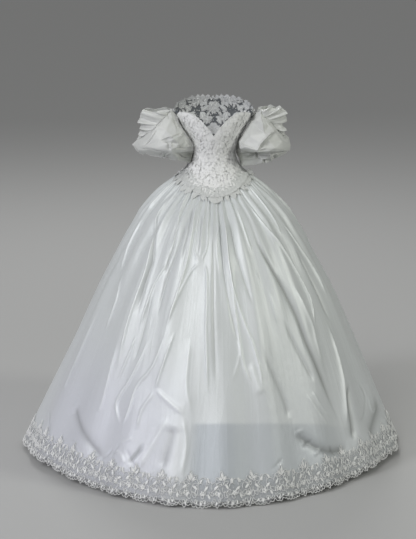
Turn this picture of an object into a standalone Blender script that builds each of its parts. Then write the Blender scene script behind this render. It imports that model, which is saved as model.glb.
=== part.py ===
"""Off-the-shoulder wedding dress: a lace-covered bodice with a sheer lace back,
puff sleeves with fan ruffles, and a full gathered satin skirt with a lace hem.

Metres, +Z up, the front faces -Y.  The origin is the middle of the waist.
Every piece is a thin wall of cloth, cut and joined where a dressmaker would.
Angles run round the dress from the centre front (0) by the wearer's left side,
+X (90), to the centre back (180), and are negative on the wearer's right.
"""

import math
from collections import namedtuple

import bmesh
import bpy
import numpy as np
from mathutils import Vector

# ---------------------------------------------------------------- driving sizes
FLOOR_Z = -1.173          # the lowest tips of the hem lace
SATIN_HEM_LIFT = 0.024    # the satin ends this far above the lace's lowest line
WALL_SATIN = 0.0014
WALL_LACE = 0.0012
WALL_BODICE = 0.0022
SEAM_GAP = 0.0003         # between pieces that are sewn together
LAY_GAP = 0.0007          # between a lace and the folded cloth it lies on

REPEATS = 40              # scallops round the hem lace
COLUMNS_A_REPEAT = 3
COLUMNS = REPEATS * COLUMNS_A_REPEAT
STEP = 360 / COLUMNS      # degrees between two columns of the skirt
SIDE_SEAM = 90

GATHERS = 40
GATHER_DEPTH = 0.0024
FLUTES = 20
FLUTE_DEPTH = 0.007

# How far the dress stands out from its middle line, at each height.
Section = namedtuple("Section", "z side front back")
SECTIONS = (
    Section(0.215, 0.135, 0.080, 0.082),
    Section(0.190, 0.150, 0.092, 0.090),
    Section(0.165, 0.153, 0.100, 0.094),
    Section(0.150, 0.146, 0.103, 0.096),
    Section(0.125, 0.132, 0.105, 0.097),
    Section(0.100, 0.118, 0.104, 0.096),
    Section(0.075, 0.104, 0.101, 0.093),
    Section(0.050, 0.092, 0.096, 0.089),
    Section(0.020, 0.083, 0.090, 0.085),
    Section(0.000, 0.081, 0.088, 0.084),
    Section(-0.020, 0.087, 0.090, 0.088),
    Section(-0.040, 0.097, 0.096, 0.096),
    Section(-0.062, 0.112, 0.105, 0.108),
    Section(-0.088, 0.150, 0.118, 0.126),
    Section(-0.112, 0.183, 0.133, 0.150),
    Section(-0.136, 0.211, 0.153, 0.180),
    Section(-0.160, 0.233, 0.180, 0.208),
    Section(-0.185, 0.253, 0.209, 0.233),
    Section(-0.210, 0.272, 0.236, 0.256),
    Section(-0.235, 0.291, 0.260, 0.278),
    Section(-0.280, 0.318, 0.297, 0.310),
    Section(-0.330, 0.349, 0.332, 0.343),
    Section(-0.380, 0.376, 0.363, 0.371),
    Section(-0.430, 0.403, 0.393, 0.398),
    Section(-0.520, 0.451, 0.446, 0.447),
    Section(-0.640, 0.508, 0.508, 0.504),
    Section(-0.790, 0.577, 0.581, 0.571),
    Section(-0.940, 0.645, 0.654, 0.638),
    Section(-1.090, 0.713, 0.726, 0.706),
    Section(-1.173, 0.752, 0.765, 0.744),
)
Lean = namedtuple("Lean", "z x")
MIDDLE_LINE = (             # the skirt hangs a little to one side, then back
    Lean(-1.173, -0.009), Lean(-1.020, -0.006), Lean(-0.820, 0.001), Lean(-0.560, 0.006),
    Lean(-0.330, 0.005), Lean(-0.140, 0.001), Lean(-0.020, 0.0),
)
DIAGONAL_FLATNESS = 0.055   # at the hem, in front; the round back has none

# Edges that run round the dress: height at each angle from the centre front.
Edge = namedtuple("Edge", "angle z")
NECKLINE = (                # the top of the lined bodice: two lobes and a deep V
    Edge(0, 0.082), Edge(14, 0.117), Edge(28, 0.144), Edge(42, 0.162),
    Edge(55, 0.170), Edge(66, 0.168), Edge(76, 0.155), Edge(84, 0.130),
    Edge(96, 0.105), Edge(116, 0.085), Edge(140, 0.062), Edge(180, 0.045),
)
HEM_RISE = (                # how far the lace's lowest line is off the floor
    Edge(0, 0.0), Edge(25, 0.004), Edge(45, 0.010), Edge(65, 0.020), Edge(80, 0.015),
    Edge(90, 0.008), Edge(125, 0.006), Edge(180, 0.0),
)
YOKE_START = 72
YOKE_TOP = (
    Edge(72, 0.176), Edge(84, 0.172), Edge(96, 0.180), Edge(110, 0.197),
    Edge(126, 0.209), Edge(140, 0.213), Edge(160, 0.213), Edge(180, 0.207),
)
WAIST_SEAM = (              # the dropped, pointed seam where the skirt is gathered
    Edge(0, -0.133), Edge(15, -0.128), Edge(30, -0.112), Edge(45, -0.092),
    Edge(60, -0.076), Edge(90, -0.062), Edge(120, -0.068), Edge(150, -0.085),
    Edge(180, -0.095),
)

# Long soft folds of the skirt; drops are measured down from the waist seam.
Fold = namedtuple("Fold", "angle height width start end")
FOLDS = (
    Fold(-84, 0.007, 4.0, 0.04, 0.60), Fold(-71, 0.009, 4.5, 0.03, 0.90),
    Fold(-58, 0.010, 4.5, 0.02, 0.55), Fold(-44, 0.013, 5.0, 0.02, 1.00),
    Fold(-31, 0.010, 4.0, 0.02, 0.40), Fold(-21, 0.013, 4.5, 0.02, 0.95),
    Fold(-11, 0.010, 3.5, 0.02, 0.30), Fold(-2, 0.009, 4.0, 0.02, 0.75),
    Fold(8, 0.011, 4.0, 0.02, 0.45), Fold(19, 0.013, 4.5, 0.02, 0.90),
    Fold(32, 0.012, 4.5, 0.02, 0.60), Fold(45, 0.012, 5.0, 0.02, 1.00),
    Fold(59, 0.009, 4.5, 0.02, 0.50), Fold(73, 0.009, 4.5, 0.03, 0.85),
    Fold(86, 0.006, 4.0, 0.04, 0.55),
    Fold(100, 0.009, 4.5, 0.03, 0.95), Fold(114, 0.010, 4.5, 0.02, 0.60),
    Fold(128, 0.012, 5.0, 0.02, 0.90), Fold(141, 0.010, 4.0, 0.02, 0.45),
    Fold(154, 0.013, 4.5, 0.02, 1.00), Fold(167, 0.010, 4.0, 0.02, 0.55),
    Fold(180, 0.012, 4.5, 0.02, 0.85), Fold(-168, 0.010, 4.0, 0.02, 0.50),
    Fold(-155, 0.013, 4.5, 0.02, 0.95), Fold(-141, 0.010, 4.5, 0.02, 0.60),
    Fold(-127, 0.012, 5.0, 0.02, 0.90), Fold(-113, 0.009, 4.0, 0.03, 0.45),
    Fold(-99, 0.009, 4.5, 0.03, 1.00),
)
SKIRT_DROPS = (0.0, 0.018, 0.045, 0.095, 0.18, 0.33, 0.60)
LACE_LEVEL = 0.135                     # top of the laced band, over the satin's hem

# One repeat of the hem lace: a pointed tongue, then a broad scallop.
# share = place along the repeat, fall = how far its edge hangs under the satin.
Notch = namedtuple("Notch", "share fall kind")
LACE_EDGE = (
    Notch(0.000, 0.010, "rib"), Notch(0.050, 0.011, "tongue"),
    Notch(0.167, 0.024, "tongue"), Notch(0.283, 0.011, "rib"),
    Notch(1 / 3, 0.011, "scallop"), Notch(0.500, 0.021, "scallop"),
    Notch(2 / 3, 0.023, "scallop"), Notch(0.850, 0.019, "scallop"),
)
CORD_WIDTH = 0.0045
SPRIG_HEIGHTS = (0.088, 0.125, 0.088)  # top edge of the lace, a column each

PETAL_STEP = 6                          # degrees between two points of its edge
PETAL_FALLS = (0.017, 0.033, 0.018, 0.027)
PETAL_TOP_LIFT = 0.0003
PETAL_BOTTOM_LIFT = 0.0072

# Puff sleeves: each row is a tilted loop round the arm, from neck to elbow.
Loop = namedtuple("Loop", "inner_x inner_z outer_x outer_z front back")
SLEEVE_RIGHT_SIDE = (       # on the wearer's left, +X
    Loop(0.1470, 0.150, 0.222, 0.142, 0.050, 0.050),
    Loop(0.1440, 0.143, 0.232, 0.136, 0.068, 0.064),
    Loop(0.1395, 0.132, 0.240, 0.123, 0.086, 0.078),
    Loop(0.1255, 0.108, 0.250, 0.100, 0.102, 0.092),
    Loop(0.1085, 0.078, 0.269, 0.074, 0.112, 0.102),
    Loop(0.0935, 0.045, 0.289, 0.048, 0.116, 0.107),
    Loop(0.0860, 0.012, 0.293, 0.023, 0.110, 0.106),
    Loop(0.0925, -0.020, 0.272, 0.001, 0.092, 0.096),
    Loop(0.1080, -0.045, 0.246, -0.021, 0.072, 0.078),
    Loop(0.1260, -0.036, 0.218, -0.014, 0.048, 0.048),
)
SLEEVE_LEFT_SIDE = (        # on the wearer's right, -X
    Loop(0.1470, 0.150, 0.224, 0.142, 0.050, 0.050),
    Loop(0.1440, 0.143, 0.234, 0.135, 0.068, 0.064),
    Loop(0.1395, 0.132, 0.243, 0.121, 0.086, 0.078),
    Loop(0.1255, 0.108, 0.257, 0.097, 0.102, 0.092),
    Loop(0.1085, 0.078, 0.282, 0.070, 0.114, 0.102),
    Loop(0.0935, 0.045, 0.305, 0.043, 0.118, 0.107),
    Loop(0.0860, 0.013, 0.304, 0.020, 0.112, 0.106),
    Loop(0.0905, -0.012, 0.285, 0.005, 0.094, 0.096),
    Loop(0.1050, -0.028, 0.250, -0.006, 0.074, 0.078),
    Loop(0.1230, -0.019, 0.222, 0.0, 0.048, 0.048),
)
SLEEVE_SIDES = 24
# Creases of a sleeve: angle round the arm (0 next to the bodice, 90 in front),
# rows where it starts and ends, how wide it is and how far it stands out.
Crease = namedtuple("Crease", "angle start end width height")
CREASES_RIGHT_SIDE = (
    Crease(48, 0.0, 6.0, 16, 0.010), Crease(100, 3.0, 8.0, 12, 0.009),
    Crease(76, 2.0, 8.0, 14, -0.007), Crease(128, 1.0, 7.0, 12, -0.008),
    Crease(152, 2.0, 9.0, 13, 0.008), Crease(205, 1.0, 8.0, 13, 0.009),
    Crease(232, 2.0, 8.0, 12, -0.007), Crease(262, 1.0, 8.0, 14, 0.009),
    Crease(300, 2.0, 8.0, 14, -0.006),
)
CREASES_LEFT_SIDE = (
    Crease(52, 1.0, 6.0, 15, 0.008), Crease(70, 4.0, 8.0, 12, 0.009),
    Crease(92, 1.0, 7.0, 12, -0.007), Crease(118, 1.0, 8.0, 13, 0.010),
    Crease(142, 2.0, 7.0, 12, -0.007), Crease(170, 2.0, 9.0, 14, 0.007),
    Crease(210, 1.0, 8.0, 13, 0.009), Crease(236, 2.0, 8.0, 12, -0.007),
    Crease(266, 1.0, 8.0, 14, 0.009), Crease(302, 2.0, 8.0, 14, -0.006),
)

# Fan ruffles stand on the top loop of a sleeve.
# rise = slope of the frill over the level, in degrees; reach = its width.
Frill = namedtuple("Frill", "angle rise reach")
RUFFLE_RIGHT_SIDE = (
    Frill(58, 80, 0.016), Frill(96, 62, 0.036), Frill(126, 48, 0.060),
    Frill(144, 38, 0.078), Frill(160, 16, 0.076), Frill(172, -2, 0.070),
    Frill(184, -4, 0.070), Frill(196, 6, 0.066), Frill(214, 20, 0.058),
    Frill(244, 26, 0.040), Frill(302, 60, 0.014),
)
RUFFLE_LEFT_SIDE = (
    Frill(46, 76, 0.010), Frill(90, 48, 0.030), Frill(122, 42, 0.058),
    Frill(142, 34, 0.080), Frill(158, 8, 0.078), Frill(172, -14, 0.074),
    Frill(184, -16, 0.070), Frill(196, -2, 0.060), Frill(214, 8, 0.054),
    Frill(244, 12, 0.040), Frill(302, 50, 0.012),
)
LOWER_RUFFLE = (
    Frill(124, -2, 0.034), Frill(150, -22, 0.066), Frill(172, -36, 0.082),
    Frill(188, -36, 0.082), Frill(206, -22, 0.064), Frill(232, -2, 0.034),
)
Seat = namedtuple("Seat", "upper lower")     # height of a frill's foot over the loop
SEAT_RIGHT_SIDE = Seat(0.0039, 0.0023)
SEAT_LEFT_SIDE = Seat(0.0036, 0.0014)
UPPER_FOOT_INSET = 0.0016
LOWER_FOOT_INSET = 0.0004
UPPER_WAVES = 8
LOWER_WAVES = 4
RUFFLE_WAVE_DEPTH = 0.0042
RUFFLE_COLUMNS_A_WAVE = 4

# Raised flowers and leaves of the bodice lace.
BODICE_STEP = 6             # degrees between two columns of a bodice panel
BODICE_ROWS = 12
LINING_ROWS = (0, 2, 4, 5, 6, 7, 8, 9, 10, 11, 12)   # rows kept by the plain inside
MOTIF_ACROSS = 0.046
MOTIF_DOWN = 0.050
MOTIF_RADIUS = 0.021
MOTIF_PETALS = 5
APPLIQUE_HEIGHT = 0.0013

BUTTONS = 7
BUTTON_RADIUS = 0.0052
BUTTON_HEIGHT = 0.0042
PLACKET_WIDTH = 0.018

SATIN = ("satin", (0.72, 0.74, 0.74), 0.34)
LACE = ("lace", (0.80, 0.80, 0.78), 0.62)
TAFFETA = ("taffeta", (0.78, 0.79, 0.76), 0.42)
NET_LACE = ("net_lace", (0.74, 0.76, 0.76), 0.66)
BUTTON_SATIN = ("button_satin", (0.78, 0.78, 0.76), 0.40)


# ------------------------------------------------------------- curves and shapes
def smooth_through(places, values, at):
    """Read a smooth curve through a short table, without overshoot."""
    i = int(np.clip(np.searchsorted(places, at) - 1, 0, len(places) - 2))
    slopes = []
    for k in (i, i + 1):
        before = max(k - 1, 0)
        after = min(k + 1, len(places) - 1)
        slopes.append((values[after] - values[before]) / (places[after] - places[before]))
    span = places[i + 1] - places[i]
    secant = (values[i + 1] - values[i]) / span
    limit = 3 * abs(secant)
    slopes = [float(np.clip(s, -limit, limit)) for s in slopes]
    t = float(np.clip((at - places[i]) / span, 0, 1))
    h = (2 * t**3 - 3 * t**2 + 1, t**3 - 2 * t**2 + t, 3 * t**2 - 2 * t**3, t**3 - t**2)
    return (h[0] * values[i] + h[1] * span * slopes[0]
            + h[2] * values[i + 1] + h[3] * span * slopes[1])


def from_table(table, key, column, at):
    """Read one named column of a table at a value of its key column."""
    rows = sorted(table, key=lambda row: getattr(row, key))
    places = [getattr(row, key) for row in rows]
    values = [getattr(row, column) for row in rows]
    return smooth_through(places, values, at)


def turn(angle):
    """The same angle between -180 and 180."""
    return (angle + 180) % 360 - 180


def edge_height(edge, angle):
    return from_table(edge, "angle", "z", abs(turn(angle)))


def ease(value, start, end):
    """0 before start, 1 after end, smooth between them."""
    t = float(np.clip((value - start) / (end - start), 0, 1))
    return t * t * (3 - 2 * t)


def body_radius(angle, z):
    """How far the plain form of the dress stands out, before any fold."""
    a = math.radians(angle)
    facing = "front" if math.cos(a) > 0 else "back"
    side = from_table(SECTIONS, "z", "side", z)
    depth = from_table(SECTIONS, "z", facing, z)
    radius = 1 / math.hypot(math.sin(a) / side, math.cos(a) / depth)
    if facing == "front":
        fullness = ease(-z, 0.3, -FLOOR_Z)
        radius *= 1 - DIAGONAL_FLATNESS * fullness * math.sin(2 * a) ** 2
    return radius


def plain_point(angle, z):
    a = math.radians(angle)
    radius = body_radius(angle, z)
    middle = from_table(MIDDLE_LINE, "z", "x", z)
    return Vector((middle + radius * math.sin(a), -radius * math.cos(a), z))


def body_point(angle, z, out=0.0):
    """A point of the plain form, moved out square to its surface."""
    point = plain_point(angle, z)
    if out == 0:
        return point
    across = plain_point(angle + 1, z) - plain_point(angle - 1, z)
    down = plain_point(angle, z - 0.004) - plain_point(angle, z + 0.004)
    return point + down.cross(across).normalized() * out


def seam_height(angle):
    """The waist seam, straight between two columns of the bodice as sewn."""
    k = math.floor(angle / BODICE_STEP + 1e-9)
    ends = [edge_height(WAIST_SEAM, BODICE_STEP * (k + n)) for n in (0, 1)]
    share = angle / BODICE_STEP - k
    return ends[0] + (ends[1] - ends[0]) * share


def hem_height(angle):
    """The lace's lowest line, which lifts a little off the floor at the sides."""
    return FLOOR_Z + edge_height(HEM_RISE, angle)


# ------------------------------------------------------------------ thin walls
def side_by_side(rows, closed):
    """Outward normals of a grid of points, rows running down the cloth."""
    high = len(rows)
    wide = len(rows[0])
    normals = []
    for r in range(high):
        line = []
        for c in range(wide):
            up = rows[max(r - 1, 0)][c]
            down = rows[min(r + 1, high - 1)][c]
            left = rows[r][(c - 1) % wide if closed else max(c - 1, 0)]
            right = rows[r][(c + 1) % wide if closed else min(c + 1, wide - 1)]
            line.append((down - up).cross(right - left).normalized())
        normals.append(line)
    return normals


def add_object(name, mesh_data, finish):
    mesh = bpy.data.meshes.new(name)
    mesh_data.normal_update()
    mesh_data.to_mesh(mesh)
    mesh_data.free()
    mesh.shade_smooth()
    mesh.set_sharp_from_angle(angle=math.radians(50))
    piece = bpy.data.objects.new(name, mesh)
    bpy.context.collection.objects.link(piece)
    label, colour, roughness = finish
    material = bpy.data.materials.new(f"{label}_{name}")
    material.use_nodes = True
    shader = material.node_tree.nodes["Principled BSDF"]
    shader.inputs["Base Color"].default_value = (*colour, 1)
    shader.inputs["Roughness"].default_value = roughness
    shader.inputs["Metallic"].default_value = 0
    mesh.materials.append(material)
    return piece


def close_wall(name, outer, inner, outer_cells, inner_cells, finish, rims=None):
    """Make one closed body from an outer skin, an inner skin and its rims.

    Cells list points counter-clockwise as seen from outside.  A rim joins each
    free edge of the outer skin to the inner one; rims may be given instead.
    """
    shape = bmesh.new()
    skin = {key: shape.verts.new(point) for key, point in outer.items()}
    lining = {key: shape.verts.new(point) for key, point in inner.items()}
    for cell in outer_cells:
        shape.faces.new([skin[key] for key in cell])
    for cell in inner_cells:
        shape.faces.new([lining[key] for key in reversed(cell)])
    for chain in (free_edges(outer_cells) if rims is None else rims):
        shape.faces.new([skin[key] for key in reversed(chain)]
                        + [lining[chain[0]], lining[chain[-1]]])
    unused = [v for v in shape.verts if not v.link_faces]
    bmesh.ops.delete(shape, geom=unused, context="VERTS")
    return add_object(name, shape, finish)


def free_edges(cells):
    edges = set()
    for cell in cells:
        for k, key in enumerate(cell):
            edges.add((key, cell[(k + 1) % len(cell)]))
    return [edge for edge in sorted(edges) if (edge[1], edge[0]) not in edges]


def grid_cells(high, wide, closed=False, open_cells=()):
    cells = []
    for r in range(high - 1):
        for c in range(wide if closed else wide - 1):
            if (r, c) in open_cells:
                continue
            n = (c + 1) % wide
            cells.append(((r, c), (r + 1, c), (r + 1, n), (r, n)))
    return cells


def as_points(rows, normals, out):
    """Key each grid point by row and column, moved out along its normal."""
    return {(r, c): point + normals[r][c] * out
            for r, line in enumerate(rows) for c, point in enumerate(line)}


def halves(cells, points):
    """Cut cells into triangles, so that both skins of a wall fold the same way."""
    triangles = []
    for cell in cells:
        if len(cell) == 4:
            a, b, c, d = cell
            if (points[a] - points[c]).length > (points[b] - points[d]).length:
                a, b, c, d = b, c, d, a
            triangles += [(a, b, c), (a, c, d)]
        else:
            triangles += [(cell[0], *pair) for pair in zip(cell[1:], cell[2:])]
    return triangles


def cloth(name, rows, normals, thickness, finish, closed=False, open_cells=()):
    """A wall of even thickness under a grid of outer points."""
    outer = as_points(rows, normals, 0)
    inner = as_points(rows, normals, -thickness)
    cells = halves(grid_cells(len(rows), len(rows[0]), closed, open_cells), outer)
    return close_wall(name, outer, inner, cells, cells, finish)


def columns_of(first, last, step):
    """Column angles of a panel, with a spare one past each of its two seams."""
    count = round((last - first) / step)
    return [first + step * k for k in range(-1, count + 2)]


def sewn(rows):
    """Drop the spare columns and leave half a seam gap at both seams.

    Two panels that share a seam get the same normals and rims along it.
    """
    normals = [line[1:-1] for line in side_by_side(rows, False)]
    kept = []
    for line in rows:
        into_first = (line[2] - line[0]).normalized()
        into_last = (line[-3] - line[-1]).normalized()
        middle = line[1:-1]
        middle[0] = middle[0] + into_first * SEAM_GAP / 2
        middle[-1] = middle[-1] + into_last * SEAM_GAP / 2
        kept.append(middle)
    return kept, normals


# ----------------------------------------------------------------------- skirt
def fold_height(angle, drop):
    """Gathers under the seam, long folds below them, flutes near the hem."""
    a = math.radians(angle)
    gather = GATHER_DEPTH * ease(drop, 0.0, 0.03) * (1 - ease(drop, 0.10, 0.30))
    height = gather * math.cos(GATHERS * a)
    for fold in FOLDS:
        across = math.exp(-((turn(angle - fold.angle)) / fold.width) ** 2)
        along = ease(drop, fold.start, fold.start + 0.13)
        along *= 1 - ease(drop, 0.5 * fold.end, fold.end)
        height += fold.height * across * along
    flute = FLUTE_DEPTH * ease(drop, 0.35, 1.0)
    height += flute * math.sin(FLUTES * a + 0.9 * math.sin(3 * a))
    return height


SKIRT_TOP_INSET = WALL_LACE + SEAM_GAP + 0.0002


def skirt_point(angle, drop):
    z = seam_height(angle) - 2 * SEAM_GAP - drop
    return body_point(angle, z, fold_height(angle, drop) - SKIRT_TOP_INSET)


def satin_hem(angle):
    """Drop from the waist seam to the satin's own hem."""
    return seam_height(angle) - 2 * SEAM_GAP - hem_height(angle) - SATIN_HEM_LIFT


def skirt_rows(angles):
    full = satin_hem(SIDE_SEAM)
    rows = []
    for drop in SKIRT_DROPS:
        rows.append([skirt_point(a, drop * satin_hem(a) / full) for a in angles])
    for lift in (LACE_LEVEL, 0.0):
        rows.append([skirt_point(a, satin_hem(a) - lift) for a in angles])
    return rows


def build_skirt():
    for name, first in (("skirt_front", -SIDE_SEAM), ("skirt_back", SIDE_SEAM)):
        angles = columns_of(first, first + 180, STEP)
        cloth(name, *sewn(skirt_rows(angles)), WALL_SATIN, SATIN)


# -------------------------------------------------------------------- hem lace
def along_hem(angle, lift):
    """A point of the skirt's own lowest facets, lift metres over its hem line."""
    k = math.floor(angle / STEP + 1e-9)
    ends = []
    for a in (k * STEP, (k + 1) * STEP):
        hem = skirt_point(a, satin_hem(a))
        ends.append(hem.lerp(skirt_point(a, satin_hem(a) - LACE_LEVEL), lift / LACE_LEVEL))
    return ends[0].lerp(ends[1], angle / STEP - k)


def hem_outward(angle):
    a = math.radians(angle)
    return Vector((math.sin(a), -math.cos(a), 0.35)).normalized()


def build_hem_lace():
    repeat = 360 / REPEATS
    for name, first in (("hem_lace_front", -SIDE_SEAM), ("hem_lace_back", SIDE_SEAM)):
        points = {}
        directions = {}
        cells = []
        half = REPEATS // 2
        for k in range(half * COLUMNS_A_REPEAT + 1):
            angle = first + STEP * k
            place = k % COLUMNS_A_REPEAT
            points["top", k] = along_hem(angle, SPRIG_HEIGHTS[place])
            directions["top", k] = hem_outward(angle)
        edge = []
        for k in range(half):
            edge += [(first + repeat * (k + n.share), n) for n in LACE_EDGE]
        edge.append((first + 180, LACE_EDGE[0]))
        for c, (angle, notch) in enumerate(edge):
            hem = along_hem(angle, 0)
            slope = (along_hem(angle, 0.01) - hem).normalized()
            points["satin", c] = hem
            points["cord", c] = hem - slope * (notch.fall - CORD_WIDTH)
            points["rim", c] = hem - slope * notch.fall
            for row in ("satin", "cord", "rim"):
                directions[row, c] = hem_outward(angle)
        for k in range(half * COLUMNS_A_REPEAT):
            low = first + STEP * k
            chain = [c for c, (angle, _) in enumerate(edge)
                     if low - 1e-6 <= angle <= low + STEP + 1e-6]
            cells.append((("top", k), *[("satin", c) for c in chain], ("top", k + 1)))
        cells += edge_cells(edge)
        gap = LAY_GAP + WALL_LACE
        outer = {key: p + directions[key] * gap for key, p in points.items()}
        inner = {key: p + directions[key] * LAY_GAP for key, p in points.items()}
        draw_back_ends(outer, inner, half * COLUMNS_A_REPEAT, len(edge) - 1)
        cells = halves(cells, outer)
        close_wall(name, outer, inner, cells, cells, NET_LACE)


def edge_cells(edge):
    """The edge cord, and the ribs that tie it to the lace; the rest is open."""
    cells = []
    for c in range(len(edge) - 1):
        cells.append((("cord", c), ("rim", c), ("rim", c + 1), ("cord", c + 1)))
        if edge[c][1].kind == "rib":
            cells.append((("satin", c), ("cord", c), ("cord", c + 1), ("satin", c + 1)))
    return cells


def draw_back_ends(outer, inner, last_column, last_edge):
    """Leave half a seam gap at both ends of a half lace."""
    for skin in (outer, inner):
        for row, last in (("top", last_column), ("satin", last_edge),
                          ("cord", last_edge), ("rim", last_edge)):
            for end, neighbour in ((0, 1), (last, last - 1)):
                inward = (skin[row, neighbour] - skin[row, end]).normalized()
                skin[row, end] = skin[row, end] + inward * SEAM_GAP / 2


# ---------------------------------------------------------------------- bodice
def applique_height(angle, z):
    """Raised lace flowers in a half-drop layout, and the leaves between them."""
    around = math.radians(angle) * 0.1
    row = round(z / MOTIF_DOWN)
    shift = 0.5 * MOTIF_ACROSS * (row % 2)
    column = round((around - shift) / MOTIF_ACROSS)
    dx = around - shift - column * MOTIF_ACROSS
    dz = z - row * MOTIF_DOWN
    reach = math.hypot(dx, dz) / MOTIF_RADIUS
    bearing = math.atan2(dz, dx) + 0.6 * row
    petal = 0.72 + 0.28 * math.cos(MOTIF_PETALS * bearing)
    flower = 1 - ease(reach, 0.75 * petal, 1.1 * petal)
    leaf = 0.55 * max(0.0, math.sin(2 * math.pi * (around + 0.7 * z) / 0.031))
    return APPLIQUE_HEIGHT * max(flower, leaf)


def bodice_panel(name, first, last):
    """One shaped panel between two seams; the lace is raised on its outside."""
    angles = columns_of(first, last, BODICE_STEP)
    rows = []
    for r in range(BODICE_ROWS + 1):
        line = []
        for a in angles:
            top = edge_height(NECKLINE, a)
            bottom = seam_height(a)
            line.append(body_point(a, top + (bottom - top) * r / BODICE_ROWS))
        rows.append(line)
    rows, normals = sewn(rows)
    right = len(rows[0]) - 1
    outer = {}
    for r, line in enumerate(rows):
        for c, point in enumerate(line):
            at_edge = r in (0, BODICE_ROWS) or c in (0, right)
            lift = 0 if at_edge else applique_height(angles[c + 1], point.z)
            outer[r, c] = point + normals[r][c] * lift
    down = LINING_ROWS
    lining = [((r, c), (s, c), (s, c + 1), (r, c + 1))
              for r, s in zip(down, down[1:]) for c in range(right)]
    inner = as_points(rows, normals, -WALL_BODICE)
    inner = {key: point for key, point in inner.items() if key[0] in down}
    close_wall(name, outer, inner, grid_cells(BODICE_ROWS + 1, right + 1), lining, LACE,
               panel_rims(down, right))


def panel_rims(down, right):
    """Rim chains between the fine outer edge of a panel and its plainer lining."""
    chains = []
    for r, s in zip(down, down[1:]):
        chains.append([(k, 0) for k in range(r, s + 1)])
        chains.append([(k, right) for k in range(s, r - 1, -1)])
    for c in range(right):
        chains.append([(0, c + 1), (0, c)])
        chains.append([(down[-1], c), (down[-1], c + 1)])
    return chains


def build_bodice():
    bodice_panel("bodice_front", -30, 30)
    for side, name in ((1, "L"), (-1, "R")):
        for label, first, last in (("side_front", 30, 84), ("side_back", 84, 138),
                                   ("back", 138, 180)):
            ends = sorted((side * first, side * last))
            bodice_panel(f"bodice_{label}_{name}", *ends)


# ---------------------------------------------------------------- waist petals
def petal_lift(share):
    return PETAL_TOP_LIFT + (PETAL_BOTTOM_LIFT - PETAL_TOP_LIFT) * ease(share, 0, 1)


def build_waist_petals():
    """Pointed lace petals that hang from the waist seam over the gathers."""
    for name, first in (("waist_petals_front", -SIDE_SEAM), ("waist_petals_back", SIDE_SEAM)):
        angles = columns_of(first, first + 180, PETAL_STEP)
        rows = [[], [], []]
        for k, a in enumerate(angles, start=len(PETAL_FALLS) - 1):
            seam = seam_height(a) - 2 * SEAM_GAP
            fall = PETAL_FALLS[k % len(PETAL_FALLS)]
            for row, drop in zip(rows, (0.0, 0.012, fall)):
                row.append(body_point(a, seam - drop, petal_lift(drop / 0.03)))
        cloth(name, *sewn(rows), WALL_LACE, LACE)


# ------------------------------------------------------------------ sheer yoke
YOKE_ROWS = 6
YOKE_SCALLOP = 0.005
GAP_PINCH = 0.22            # how far a gap narrows towards its top, to a leaf shape


def build_yoke():
    """Flower lace over the shoulder blades, open between its motifs."""
    for side, name in ((1, "L"), (-1, "R")):
        angles = columns_of(YOKE_START, 180, BODICE_STEP)
        rows = []
        for r in range(YOKE_ROWS + 1):
            line = []
            for k, a in enumerate(angles):
                low = edge_height(NECKLINE, a) + 2 * SEAM_GAP
                wave = YOKE_SCALLOP * (1 if k % 2 else -0.4)
                high = edge_height(YOKE_TOP, a) + wave * ease(a, 76, 100)
                line.append(body_point(a, high + (low - high) * r / YOKE_ROWS))
            rows.append(line)
        rows, normals = sewn(rows)
        wide = len(rows[0])
        gaps = yoke_gaps(wide)
        for r, c in gaps:
            pinch = (rows[r][c + 1] - rows[r][c]) * GAP_PINCH
            rows[r][c] = rows[r][c] + pinch
            rows[r][c + 1] = rows[r][c + 1] - pinch
        if side < 0:
            rows = mirrored(rows)
            normals = mirrored(normals)
            gaps = {(r, wide - 2 - c) for r, c in gaps}
        cloth(f"yoke_{name}", rows, normals, WALL_LACE, NET_LACE, open_cells=gaps)


def mirrored(rows):
    """The same grid on the other side of the dress, still facing outward."""
    return [[Vector((-v.x, v.y, v.z)) for v in reversed(line)] for line in rows]


def yoke_gaps(wide):
    """Cells left open, every second one, staggered from row to row."""
    gaps = set()
    for r in (1, 3, 5):
        start = 4 + (r // 2) % 2
        gaps |= {(r, c) for c in range(start, wide - 2, 2)}
    return gaps


# --------------------------------------------------------------------- sleeves
def loop_point(loop, angle, out=0.0):
    """A point of a loop round the arm; 0 is next to the bodice, 90 in front."""
    a = math.radians(angle)
    middle = 0.5 * (loop.inner_x + loop.outer_x)
    half = 0.5 * (loop.outer_x - loop.inner_x) + out
    depth = (loop.front if math.sin(a) > 0 else loop.back) + out
    share = 0.5 * (1 - math.cos(a))
    z = loop.inner_z + (loop.outer_z - loop.inner_z) * share
    return Vector((middle - half * math.cos(a), -depth * math.sin(a), z))


def crease_height(creases, angle, row):
    height = 0
    for crease in creases:
        across = math.exp(-(turn(angle - crease.angle) / crease.width) ** 2)
        rise = ease(row, crease.start, crease.start + 1.6)
        fade = 1 - ease(row, crease.end - 1.6, crease.end)
        height += crease.height * across * rise * fade
    return height


def sewn_sleeve(name, rows, side, closed):
    """Make a piece of a sleeve on its own side of the dress."""
    facing = rows if side > 0 else mirrored(rows)
    cloth(name, facing, side_by_side(facing, closed), WALL_SATIN, TAFFETA, closed=closed)


def build_sleeve(side, name, loops, creases):
    angles = [360 * k / SLEEVE_SIDES for k in range(SLEEVE_SIDES)]
    rows = []
    for r, loop in enumerate(loops):
        away = [1 - math.exp(-(turn(a) / 26) ** 2) for a in angles]
        rows.append([loop_point(loop, a, crease_height(creases, a, r) * free)
                     for a, free in zip(angles, away)])
    sewn_sleeve(f"sleeve_{name}", rows, side, True)


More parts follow.
